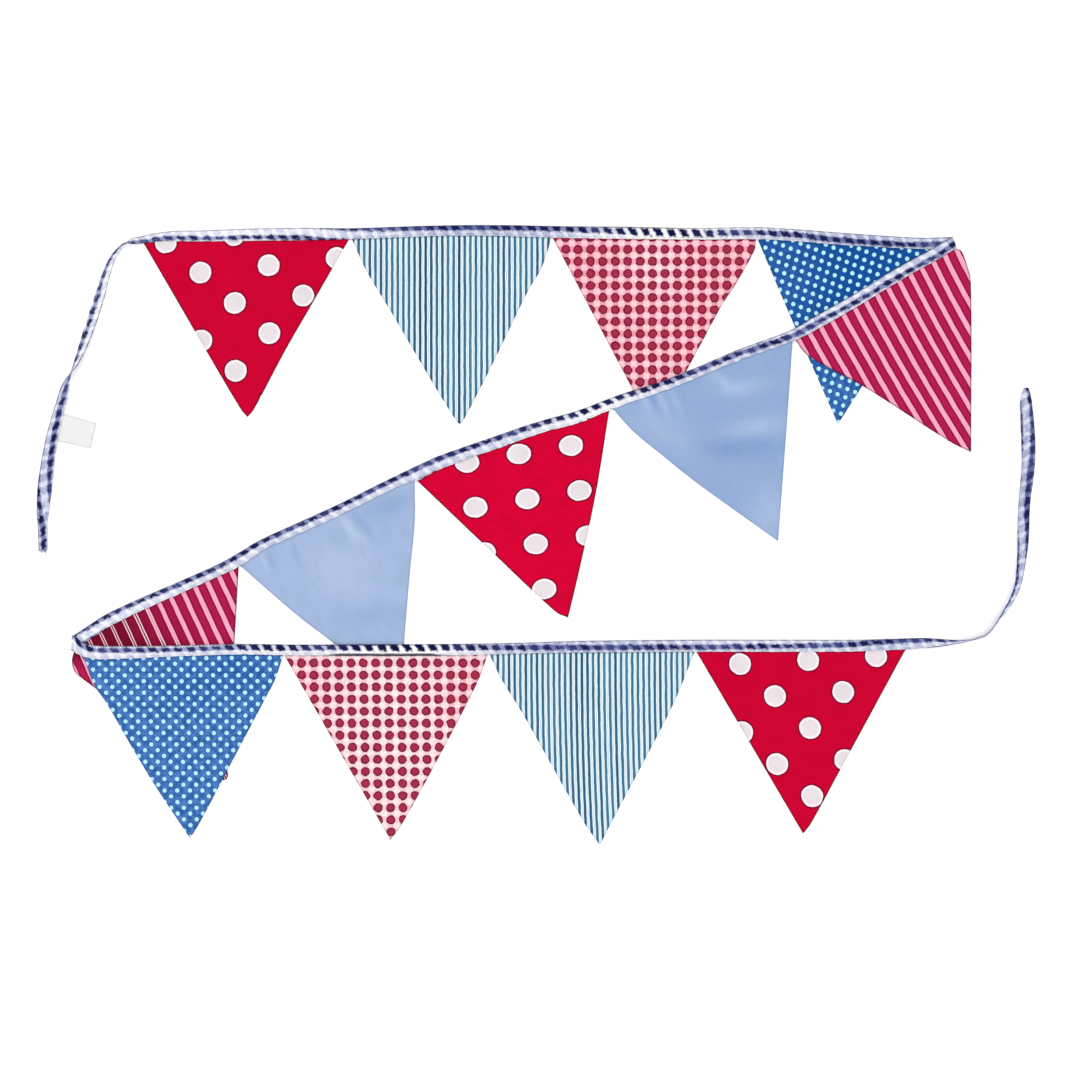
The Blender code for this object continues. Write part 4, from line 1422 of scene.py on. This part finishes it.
@dataclass
class BindingTape:
    """The whole tape: one strip folded lengthways, from tie to tie.

    The stitches dip it at their inset from the mouth, and it puckers between them. Each edge
    wavers by its own noise, which the seeds tell apart. bold_fold_shade and bold_mouth_shade widen
    the painted shade lines along the fold and, from bold_shade_from of its strength, along the
    mouth.
    """

    runs: list[Run]
    station_step: float = 0.0027
    leaf_steps: int = 7
    bend_steps: int = 5
    bend_spread: float = 0.6
    stitch_inset: float = 0.0018
    stitch_dip: float = 0.00012
    stitch_reach: float = 0.0009
    pucker: float = 0.00016
    pucker_length: float = 0.0085
    pucker_base: float = 0.6
    pucker_seed: float = 0.4
    edge_waver: float = 0.00050
    upper_waver_length: float = 0.006
    upper_seed: float = 3.1
    lower_waver_length: float = 0.007
    lower_seed: float = 9.4
    unshaded_mouth: float = 0.0020
    bold_fold_shade: float = 0.0010
    bold_mouth_shade: float = 0.0018
    bold_shade_from: float = 0.8
    cut_width: float = 0.025
    cut_length: float = 3.28
    frames: list[TapeFrame] = field(default_factory=list)
    lengths: list[float] = field(default_factory=list)

    def __post_init__(self) -> None:
        """Read every section of the tape from its runs and folds."""
        for run in self.runs:
            count = round(run.length / self.station_step)
            self.frames += [run.frame(run.length * i / count) for i in range(count + 1)]
            if run.end_fold is not None:
                self.frames += run.fold_frames()
        self.lengths = lengths_along([section.centre for section in self.frames])

    def section(self, section: TapeFrame, length: float) -> list[tuple[float, float, float]]:
        """The folded sheet's section, from the under leaf's mouth to the upper leaf's.

        Args:
            section: The tape's section.
            length: The distance along the tape.

        Returns:
            For each point: its place across and up from the middle, and its place across the
            flat strip, from the fold.
        """
        bend = section.lift
        fold = bend - section.width / 2
        ragged = self.edge_waver * abs(section.normal.normalized().z)
        waver = wander(length / self.upper_waver_length, self.upper_seed) * ragged
        extra = wander(length / self.lower_waver_length, self.lower_seed) * ragged
        flat = section.width / 2 - fold + waver
        upper, lower, around = [], [], []
        for share in (step / self.leaf_steps for step in range(self.leaf_steps + 1)):
            away = flat * share
            across, place, dip = fold + away, away + bend, self.dip(flat - away)
            upper.append((across, bend - dip + self.pucker_at(length, share), place))
            lower.append((across + extra * place / section.width, dip - bend, -place))
        for step in range(1, self.bend_steps):
            turn = math.pi * (step / self.bend_steps - 0.5)
            around.append((fold - bend * math.cos(turn), bend * math.sin(turn),
                           bend * turn * self.bend_spread))
        return lower[::-1] + around + upper

    def dip(self, from_mouth: float) -> float:
        """How far the stitches pull a leaf in, at a distance from the mouth."""
        return self.stitch_dip * bell((from_mouth - self.stitch_inset) / self.stitch_reach)

    def pucker_at(self, length: float, share: float) -> float:
        """How far the upper leaf puffs between stitches."""
        wave = wander(length / self.pucker_length, self.pucker_seed)
        return self.pucker * share * share * (self.pucker_base + wave)

    def from_edge(self, point: Vector, away: float, width: float) -> float:
        """Measure how far a point is from the painted shade lines along the tape's two edges.

        Args:
            point: The plan point.
            away: Its distance across the flat strip, from the fold.
            width: The tape's width there.

        Returns:
            The distance, less where a shade line is bold and more where the mouth has none.
        """
        lined = toned(0.0, MOUTH_SHADE_LINES, point)
        unlined = self.unshaded_mouth * (1.0 - lined)
        unlined -= self.bold_mouth_shade * max(lined - self.bold_shade_from, 0.0) / (1.0 - self.bold_shade_from)
        bolder = self.bold_fold_shade * toned(0.0, FOLD_SHADE_LINES, point)
        return min(abs(away) - bolder, width - abs(away) + unlined)

    def build(self) -> bpy.types.Object:
        """Make the tape.

        Returns:
            The tape's piece.
        """
        stations = len(self.frames) - 1
        rows = [self.section(f, length) for f, length in zip(self.frames, self.lengths)]
        sides = len(rows[0]) - 1
        editor = bmesh.new()
        bmesh.ops.create_grid(editor, x_segments=stations, y_segments=sides, size=0.5)
        from_edge, tone, crisp = (
            editor.verts.layers.float.new(name) for name in (FROM_EDGE, TONE_AND_SHADE, CRISP))
        flat = {}
        for vert in editor.verts:
            station = round((vert.co.x + 0.5) * stations)
            section = self.frames[station]
            across, up, away = rows[station][round((vert.co.y + 0.5) * sides)]
            vert.co = section.centre + section.across * across + section.normal * up
            vert.co.z = max(vert.co.z, LEAF_THICKNESS / 2)
            flat[vert] = (self.lengths[station], away - section.row)
            point = vert.co.to_2d()
            vert[tone] = toned(TAPE_TONE, TAPE_PATCHES, point)
            vert[crisp] = toned(0.0, CRISP_PATCHES, point)
            vert[from_edge] = self.from_edge(point, away, section.width)
        unwrap(editor, flat)
        finish = FINISHES[Cloth.GINGHAM].dress()
        tape = add_piece("binding_tape_cloth", editor, finish, ["binding_tape"])
        thicken(tape, LEAF_THICKNESS)
        return tape

    def between(self, length: float) -> tuple[TapeFrame, Vector]:
        """The tape's section and direction at a distance along it.

        Args:
            length: The distance from the tape's first end.

        Returns:
            The section and the unit direction.
        """
        index = span_at(self.lengths, length)
        start, end = self.frames[index:index + 2]
        span = max(self.lengths[index + 1] - self.lengths[index], SHORTEST_SPAN)
        direction = (end.centre - start.centre).normalized()
        return start.mixed(end, (length - self.lengths[index]) / span), direction


@dataclass
class StitchLine:
    """The line of machine stitching that closes the tape, seen on one of its faces.

    face is 1 for the upper leaf and -1 for the under leaf. proud is the share of the thread
    that stands out of the cloth, and sunk holds the thread off the floor in the same way.
    """

    tape: BindingTape
    name: str
    face: float
    pitch: float = 0.0031
    end_gap: float = 0.005
    stitch_length: float = 0.0024
    thread: float = 0.00040
    proud: float = 0.25
    sunk: float = 0.3
    sides: int = 6
    rings: int = 4

    def build(self, material: bpy.types.Material) -> bpy.types.Object:
        """Make the row of stitches.

        Args:
            material: The thread's material.

        Returns:
            The piece.
        """
        count = int((self.tape.lengths[-1] - 2 * self.end_gap) / self.pitch)
        editor = bmesh.new()
        bmesh.ops.create_uvsphere(
            editor, u_segments=self.sides, v_segments=self.rings, radius=1.0)
        corners = [vert.co.copy() for vert in editor.verts]
        while len(editor.verts) < count * len(corners):
            bmesh.ops.duplicate(editor, geom=editor.verts[:] + editor.edges[:] + editor.faces[:])
        verts = editor.verts[:]
        for index in range(count):
            placed = self.stitch_matrix(self.end_gap + index * self.pitch)
            for vert, corner in zip(verts[index * len(corners):], corners):
                vert.co = placed @ corner
        bmesh.ops.delete(editor, geom=verts[count * len(corners):], context="VERTS")
        return add_piece(self.name, editor, material)

    def stitch_matrix(self, length: float) -> Matrix:
        """Find where a stitch lies and how it is turned.

        Args:
            length: The distance along the tape.

        Returns:
            The matrix that takes a unit ball to the stitch.
        """
        section, direction = self.tape.between(length)
        inset = section.width / 2 - self.tape.stitch_inset
        out = section.half - self.tape.stitch_dip + self.thread * self.proud
        place = section.centre + section.across * inset + section.normal * self.face * out
        place.z = max(place.z, self.thread * self.sunk)
        normal = section.normal.normalized()
        sideways = normal.cross(direction).normalized()
        axes = Matrix((direction * self.stitch_length / 2, sideways * self.thread / 2,
                       normal * self.thread / 2)).transposed().to_4x4()
        return Matrix.Translation(place) @ axes


@dataclass
class Pennant:
    """One pennant: two layers of cotton sewn right sides together and turned.

    Its lift eases from the tape's mouth to its own height over the settle length. The cloth
    wavers softly, from the waver_from share of its drop, and the gathers at the tape are
    gather_rows of noise across, which die away down the cloth.
    """

    plan: PennantPlan
    run: Run
    rows: int = 72
    mouth_samples: int = 120
    outline_steps: int = 14
    settle: float = 0.011
    seam_inset: float = 0.0042
    seam_allowance: float = 0.0065
    seam_easing: float = 0.003
    turned_edge: float = 0.0022
    single_share: float = 0.72
    edge_share: float = 0.35
    tuck_shade_reach: float = 0.004
    waver: float = 0.0004
    waver_size: float = 0.028
    waver_onset: float = 6.0
    gather_rows: tuple[float, float, float] = (24.0, 2.2, 5.0)
    gather_fading: float = 7.0
    gather_onset: float = 20.0
    cut_width: float = 0.203
    cut_drop: float = 0.180

    def __post_init__(self) -> None:
        """Find the pennant's corners and the plan's heights in metres."""
        self.left, self.right = (
            self.run.length_at_mouth_x(x / MM_PER_METRE)
            for x in (self.plan.left_x, self.plan.right_x))
        self.ripple, self.gathers = metres((self.plan.ripple, self.plan.gathers))

    def settle_in(self) -> None:
        """Read the tape's mouth and the pennant's sides once the layers below are known."""
        lengths = [blend(self.left, self.right, step / self.mouth_samples)
                   for step in range(self.mouth_samples + 1)]
        self.mouth = [self.run.mouth_point(length) for length in lengths]
        self.corners = [self.mouth[0].to_2d(), self.mouth[-1].to_2d()]
        self.sides = [Path([corner, *map(metres, (*edge, self.plan.tip))]) for corner, edge in
                      zip(self.corners, (self.plan.left_edge, self.plan.right_edge))]

    def mouth_at(self, across: float) -> Vector:
        """The middle of the tape's slot at a share of the way across the pennant."""
        place = min(max(across, 0.0), 1.0) * self.mouth_samples
        low = min(int(place), self.mouth_samples - 1)
        return self.mouth[low].lerp(self.mouth[low + 1], place - low)

    def place(self, across: float, down: float) -> tuple[Vector, float]:
        """A plan point of the pennant and how far it is from the nearest side.

        Args:
            across: The share of the way from the left side to the right.
            down: The share of the way from the tape to the tip.

        Returns:
            The plan point and the distance to the nearest side.
        """
        ends = [side.at(side.length * down) for side in self.sides]
        point = ends[0][0].lerp(ends[1][0], across)
        from_side = min(abs((point - end).cross(way)) for end, way in ends)
        bow = self.mouth_at(across).to_2d() - self.corners[0].lerp(self.corners[1], across)
        return point + bow * (1.0 - down), from_side

    def layer(self) -> Layer:
        """Measure the outline that the pennant covers.

        Returns:
            The pennant as a layer that later cloth lies over.
        """
        shares = [step / self.outline_steps for step in range(self.outline_steps + 1)]
        around = [(share, 0.0) for share in shares] + [(1.0, share) for share in shares[1:]]
        around += [(0.0, share) for share in shares[-2:0:-1]]
        outline = [self.place(*shares)[0] for shares in around]
        return Layer(outline, OVER_PENNANT, PENNANT_COVER_MARGIN)

    def relief(self, point: Vector, across: float, down: float) -> float:
        """Work out how far the pennant's soft waves and creases lift it.

        Args:
            point: The plan point.
            across: The share of the way from the left side to the right.
            down: The share of the way from the tape to the tip.

        Returns:
            The height over flat cloth.
        """
        fading = math.sin(math.pi * min(down / self.plan.reach, 1.0)) ** 2
        wave = 0.5 - 0.5 * math.cos(2 * math.pi * self.plan.waves * across)
        soft = wander(*(point / self.waver_size))
        height = self.ripple * 0.5 * fading * wave
        height += self.waver * (0.5 + 0.5 * soft) * min(down * self.waver_onset, 1.0)
        if self.gathers:
            columns, rows, seed = self.gather_rows
            gather = self.gathers * (0.5 + wander(across * columns, down * rows, seed))
            height += gather * math.exp(-down * self.gather_fading) * min(
                down * self.gather_onset, 1.0)
        height += sum(crease.height_at(point) for crease in self.plan.creases)
        return max(height, 0.0)

    def surface(self, across: float, down: float) -> tuple[Vector, float]:
        """Find a point of the pennant's middle surface.

        Args:
            across: The share of the way from the left side to the right.
            down: The share of the way from the tape to the tip.

        Returns:
            The point and its distance from the nearest side.
        """
        mouth = self.mouth_at(across)
        point, from_side = self.place(across, down)
        if down == 0.0:
            return mouth, from_side
        lying = cover_height(point, self.run.covers) + PENNANT_THICKNESS / 2
        lying += self.relief(point, across, down)
        away = (point - mouth.to_2d()).length
        return Vector((*point, blend(mouth.z, lying, ease(away / self.settle)))), from_side

    def seam(self, across: float) -> Vector:
        """A point of the pennant's top edge, inside the tape."""
        section = self.run.frame(blend(self.left, self.right, across))
        return section.centre + section.across * (self.seam_inset - section.width / 2)

    def flat_place(self, point: Vector) -> Vector:
        """Where a point of the pennant is on the flat printed cloth."""
        return FINISHES[self.plan.cloth].to_cloth(self.plan.placement.repeats(point))

    def thickness_share(self, from_side: float) -> float:
        """How thick the pennant is: thin at its turned edge, thicker over its seam allowance."""
        inner = ease((from_side - self.seam_allowance) / self.seam_easing)
        return ease(from_side / self.turned_edge) * blend(1.0, self.single_share, inner)

    def build(self, material: bpy.types.Material) -> bpy.types.Object:
        """Make the pennant.

        Args:
            material: Its cloth's material.

        Returns:
            The pennant's piece.
        """
        editor = bmesh.new()
        layers = editor.verts.layers
        across_layer, down_layer, from_edge, tone, tuck_shading, oval = (
            layers.float.new(name) for name in ("across", "down", FROM_EDGE, TONE_AND_SHADE, TUCK_SHADE, OVAL))
        thickness = layers.deform.new()
        editor.faces.new([editor.verts.new(corner) for corner in ((0, -1, 0), (1, 0, 0), (0, 0, 0))])
        bmesh.ops.subdivide_edges(
            editor, edges=editor.edges[:], cuts=self.rows - 1, use_grid_fill=True)
        for vert in editor.verts:
            down = round(-vert.co.y * self.rows) / self.rows
            across = vert.co.x / (1.0 - down) if down < 1.0 else 0.0
            vert[across_layer], vert[down_layer] = across, down
            vert.co, vert[from_edge] = self.surface(across, down)
            vert[oval] = self.plan.oval
            vert[thickness][0] = self.thickness_share(vert[from_edge])
            vert[tone] = toned(self.plan.tone, self.plan.patches, vert.co.to_2d())
            # Painted shade where the cloth goes into the tape, strongest at the mouth and fading to
            # nothing over its reach.
            from_mouth = (vert.co - self.mouth_at(across)).length
            vert[tuck_shading] = max(1.0 - from_mouth / self.tuck_shade_reach, 0.0)
        hem = [edge for edge in editor.edges
               if all(vert[down_layer] == 0.0 for vert in edge.verts)]
        for element in bmesh.ops.extrude_edge_only(editor, edges=hem)["geom"]:
            if isinstance(element, bmesh.types.BMVert):
                element.co = self.seam(element[across_layer])
        unwrap(editor, {vert: self.flat_place(vert.co) for vert in editor.verts})
        for name in ("across", "down"):
            layers.float.remove(layers.float[name])
        piece = add_piece(f"{self.plan.name}_cloth", editor, material,
                          [self.plan.name])
        piece.vertex_groups.new(name="thickness")
        thicken(piece, PENNANT_THICKNESS, "thickness", self.edge_share)
        return piece


@dataclass
class SewnLabel:
    """The bare label: a small ribbon sewn into the tie's mouth and lying beside it."""

    run: Run
    start_place: Pair = (-0.4840, 0.0950)
    width: float = 0.0285
    drop: float = 0.0340
    seam_depth: float = 0.0045
    settle: float = 0.0130
    thickness: float = 0.0004
    curl: float = 0.0009
    columns: int = 14
    lines: int = 18

    def __post_init__(self) -> None:
        """Open the tape's slot where the label is sewn in."""
        self.start = self.run.path.nearest(Vector(self.start_place))
        self.run.openings.append((self.start, self.start + self.width))

    def build(self) -> bpy.types.Object:
        """Make the label.

        Returns:
            The label's piece.
        """
        editor = bmesh.new()
        bmesh.ops.create_grid(editor, x_segments=self.columns, y_segments=self.lines, size=0.5)
        from_edge = editor.verts.layers.float.new(FROM_EDGE)
        flat = {}
        for vert in editor.verts:
            across = vert.co.x + 0.5
            drop = blend(-self.seam_depth, self.drop, vert.co.y + 0.5)
            section = self.run.frame(self.start + self.width * across)
            place = section.centre + section.across * (section.width / 2 + drop)
            if drop > 0.0:
                curl = self.curl * ease(drop / self.drop) * (2.0 * across - 1.0) ** 2
                lying = self.thickness / 2 + curl
                place.z = blend(section.centre.z, lying, ease(drop / self.settle))
            vert.co = place
            flat[vert] = (across * self.width, drop)
            vert[from_edge] = min(across * self.width, (1.0 - across) * self.width,
                                  self.drop - drop)
        unwrap(editor, flat)
        finish = FINISHES[Cloth.LABEL].dress()
        label = add_piece("sewn_label_ribbon", editor, finish, ["sewn_label"])
        thicken(label, self.thickness)
        return label


@dataclass
class FrayedEnd:
    """Loose threads at the cut end of a tie.

    shortest is a thread's least share of the longest. spread and off_middle are how far the
    threads root from the tape's middle, as shares of its width and of a leaf's distance, and
    rooted is how far inside. turn and bend are the most that a thread turns as it leaves and
    at each step, in radians, and drooping is how fast it sinks.
    """

    tape: BindingTape
    name: str
    at_start: bool
    count: int = 13
    longest: float = 0.0054
    shortest: float = 0.35
    thickness: float = 0.00032
    spread: float = 0.45
    off_middle: float = 0.8
    rooted: float = 0.001
    turn: float = 0.5
    bend: float = 0.35
    drooping: float = 0.3
    lowest: float = 0.6
    steps: int = 6
    sides: int = 5

    def build(self, material: bpy.types.Material, chance: random.Random) -> bpy.types.Object:
        """Make the threads.

        Args:
            material: Their material.
            chance: The seeded source of their lengths and bends.

        Returns:
            The piece.
        """
        section, beside = self.tape.frames[:2] if self.at_start else self.tape.frames[:-3:-1]
        outward = (section.centre - beside.centre).normalized()
        root = Vector((outward.x, outward.y, 0.0)) * self.rooted
        editor = bmesh.new()
        for _ in range(self.count):
            across = chance.uniform(-self.spread, self.spread)
            place = section.centre + section.across * section.width * across
            place += section.normal * chance.choice((-1.0, 1.0)) * section.lift * self.off_middle
            place.z = max(place.z, self.thickness)
            length = self.longest * chance.uniform(self.shortest, 1.0)
            turn = Matrix.Rotation(chance.uniform(-self.turn, self.turn), 3, "Z")
            bend = Matrix.Rotation(chance.uniform(-self.bend, self.bend), 3, "Z")
            self.draw_thread(editor, place - root, turn @ outward, length, bend)
        return add_piece(self.name, editor, material)

    def draw_thread(self, editor: bmesh.types.BMesh, place: Vector, heading: Vector,
                    length: float, bend: Matrix) -> None:
        """Draw one thread as a thin closed tube.

        Args:
            editor: The mesh that the thread joins.
            place: Where it leaves the cloth.
            heading: The direction in which it leaves.
            length: Its length.
            bend: Its turn at each step.
        """
        facing = heading.to_track_quat("Z", "Y").to_matrix().to_4x4()
        ring = bmesh.ops.create_circle(
            editor, cap_ends=True, segments=self.sides, radius=self.thickness / 2,
            matrix=Matrix.Translation(place) @ facing)
        faces = list({face for vert in ring["verts"] for face in vert.link_faces})
        for _ in range(self.steps):
            made = bmesh.ops.extrude_face_region(editor, geom=faces)["geom"]
            verts = [part for part in made if isinstance(part, bmesh.types.BMVert)]
            faces = [part for part in made if isinstance(part, bmesh.types.BMFace)]
            step = heading * length / self.steps
            step.z = max(step.z, self.thickness * self.lowest - place.z)
            bmesh.ops.translate(editor, verts=verts, vec=step)
            place = place + step
            bmesh.ops.rotate(editor, verts=verts, cent=place, matrix=bend)
            heading = bend @ heading
            heading.z = blend(heading.z, -place.z / length, self.drooping)


# --- The studio ---

@dataclass
class Studio:
    """A white floor, even soft light and a camera straight above."""

    floor_size: float = 8.0
    floor_level: float = -0.0002
    floor_colour: str = "#FFFFFF"
    floor_glow: float = 0.15
    speck_scale: float = 3.0
    speck_shade: float = 0.99
    sky_strength: float = 1.07
    lamp_strength: float = 0.20
    lamp_spread: float = 50.0
    lamp_tilt: tuple[float, float, float] = (-28.0, -30.0, 0.0)
    lens: float = 85.0
    sensor: float = 36.0
    sight: float = 50.0
    picture_width: float = 1.070
    picture_centre: Pair = (-0.001, 0.0)

    def build(self) -> None:
        """Lay the floor and set up the light and the camera."""
        editor = bmesh.new()
        bmesh.ops.create_grid(editor, x_segments=1, y_segments=1, size=self.floor_size / 2)
        floor = add_object("floor", editor, self.floor_material())
        floor.location.z = self.floor_level
        self.light()
        self.aim_camera()

    def floor_material(self) -> bpy.types.Material:
        """Matt white paper on a light table, which gives a clean ground with hardly a shadow."""
        bench = NodeBench("White studio paper")
        paper = bench.speckled(self.floor_colour, self.speck_scale, 2.0, self.speck_shade)
        return bench.shaded({
            "Base Color": paper, "Emission Color": linear(self.floor_colour),
            "Emission Strength": self.floor_glow, "Roughness": 1.0, "Specular IOR Level": 0.0})

    def light(self) -> None:
        """Give the scene an even white surround and one very soft lamp from the upper left."""
        scene = bpy.context.scene
        scene.world = bpy.data.worlds.new("Soft white studio")
        scene.world.use_nodes = True
        background = scene.world.node_tree.nodes["Background"]
        background.inputs["Color"].default_value = (1.0, 1.0, 1.0, 1.0)
        background.inputs["Strength"].default_value = self.sky_strength
        scene.view_settings.view_transform = "Standard"
        lamp = bpy.data.lights.new("Soft lamp", "SUN")
        lamp.energy = self.lamp_strength
        lamp.angle = math.radians(self.lamp_spread)
        link("Soft lamp", lamp).rotation_euler = [math.radians(tilt) for tilt in self.lamp_tilt]

    def aim_camera(self) -> None:
        """Look straight down so that the picture spans its width on the floor."""
        camera = bpy.data.cameras.new("Camera above")
        camera.lens = self.lens
        camera.sensor_width = self.sensor
        camera.clip_end = self.sight
        holder = link("Camera above", camera)
        height = self.picture_width * self.lens / self.sensor
        holder.location = (*self.picture_centre, height)
        bpy.context.scene.camera = holder


@dataclass
class Bunting:
    """The whole bunting, built from the bottom layer up."""

    seed: int = 11

    def lay_out(self) -> tuple[list[Run], list[Pennant], SewnLabel]:
        """Lay the runs over each other and find every pennant's place.

        Returns:
            The runs in order, the pennants and the label.
        """
        runs = {"top": Run(TOP_RUN, 1.0), "diagonal": Run(DIAGONAL_RUN, -1.0),
                "bottom": Run(BOTTOM_RUN, 1.0)}
        runs["top"].fold_onto(runs["diagonal"])
        runs["diagonal"].fold_onto(runs["bottom"])
        label = SewnLabel(runs["top"])
        pennants: list[Pennant] = []
        below: list[Layer] = []
        for name, run in runs.items():
            run.covers = below
            sewn = [Pennant(plan, run) for plan in PENNANTS if plan.run == name]
            ends = [end for pennant in sewn for end in (pennant.left, pennant.right)]
            run.openings.append((min(ends) if run.start_fold is None else 0.0,
                                 max(ends) if run.end_fold is None else run.length))
            for pennant in sewn:
                pennant.settle_in()
            below = [run.layer()] + [pennant.layer() for pennant in sewn]
            pennants += sewn
        return list(runs.values()), pennants, label

    def build(self) -> None:
        """Build every piece and report it."""
        runs, pennants, label = self.lay_out()
        tape = BindingTape(runs)
        report(tape.build())
        thread = ThreadFinish().dress()
        report(StitchLine(tape, "stitching_front", 1.0).build(thread))
        report(StitchLine(tape, "stitching_back", -1.0).build(thread))
        dressed = {cloth: FINISHES[cloth].dress() for cloth in {p.plan.cloth for p in pennants}}
        for pennant in pennants:
            report(pennant.build(dressed[pennant.plan.cloth]))
        report(label.build())
        chance = random.Random(self.seed)
        loose = ThreadFinish("Loose cotton threads", "#4A4A86", 0.85).dress()
        report(FrayedEnd(tape, "left_tie_threads", True).build(loose, chance))
        report(FrayedEnd(tape, "right_tie_threads", False, 5, 0.0035).build(loose, chance))


def report(piece: bpy.types.Object) -> None:
    """Say that a piece is made and how many faces its mesh has before its modifiers."""
    LOG.info("%s: %d faces", piece.name, len(piece.data.polygons))


def main() -> None:
    """Build the studio and the bunting."""
    Studio().build()
    Bunting().build()


if __name__ == "__main__":
    main()
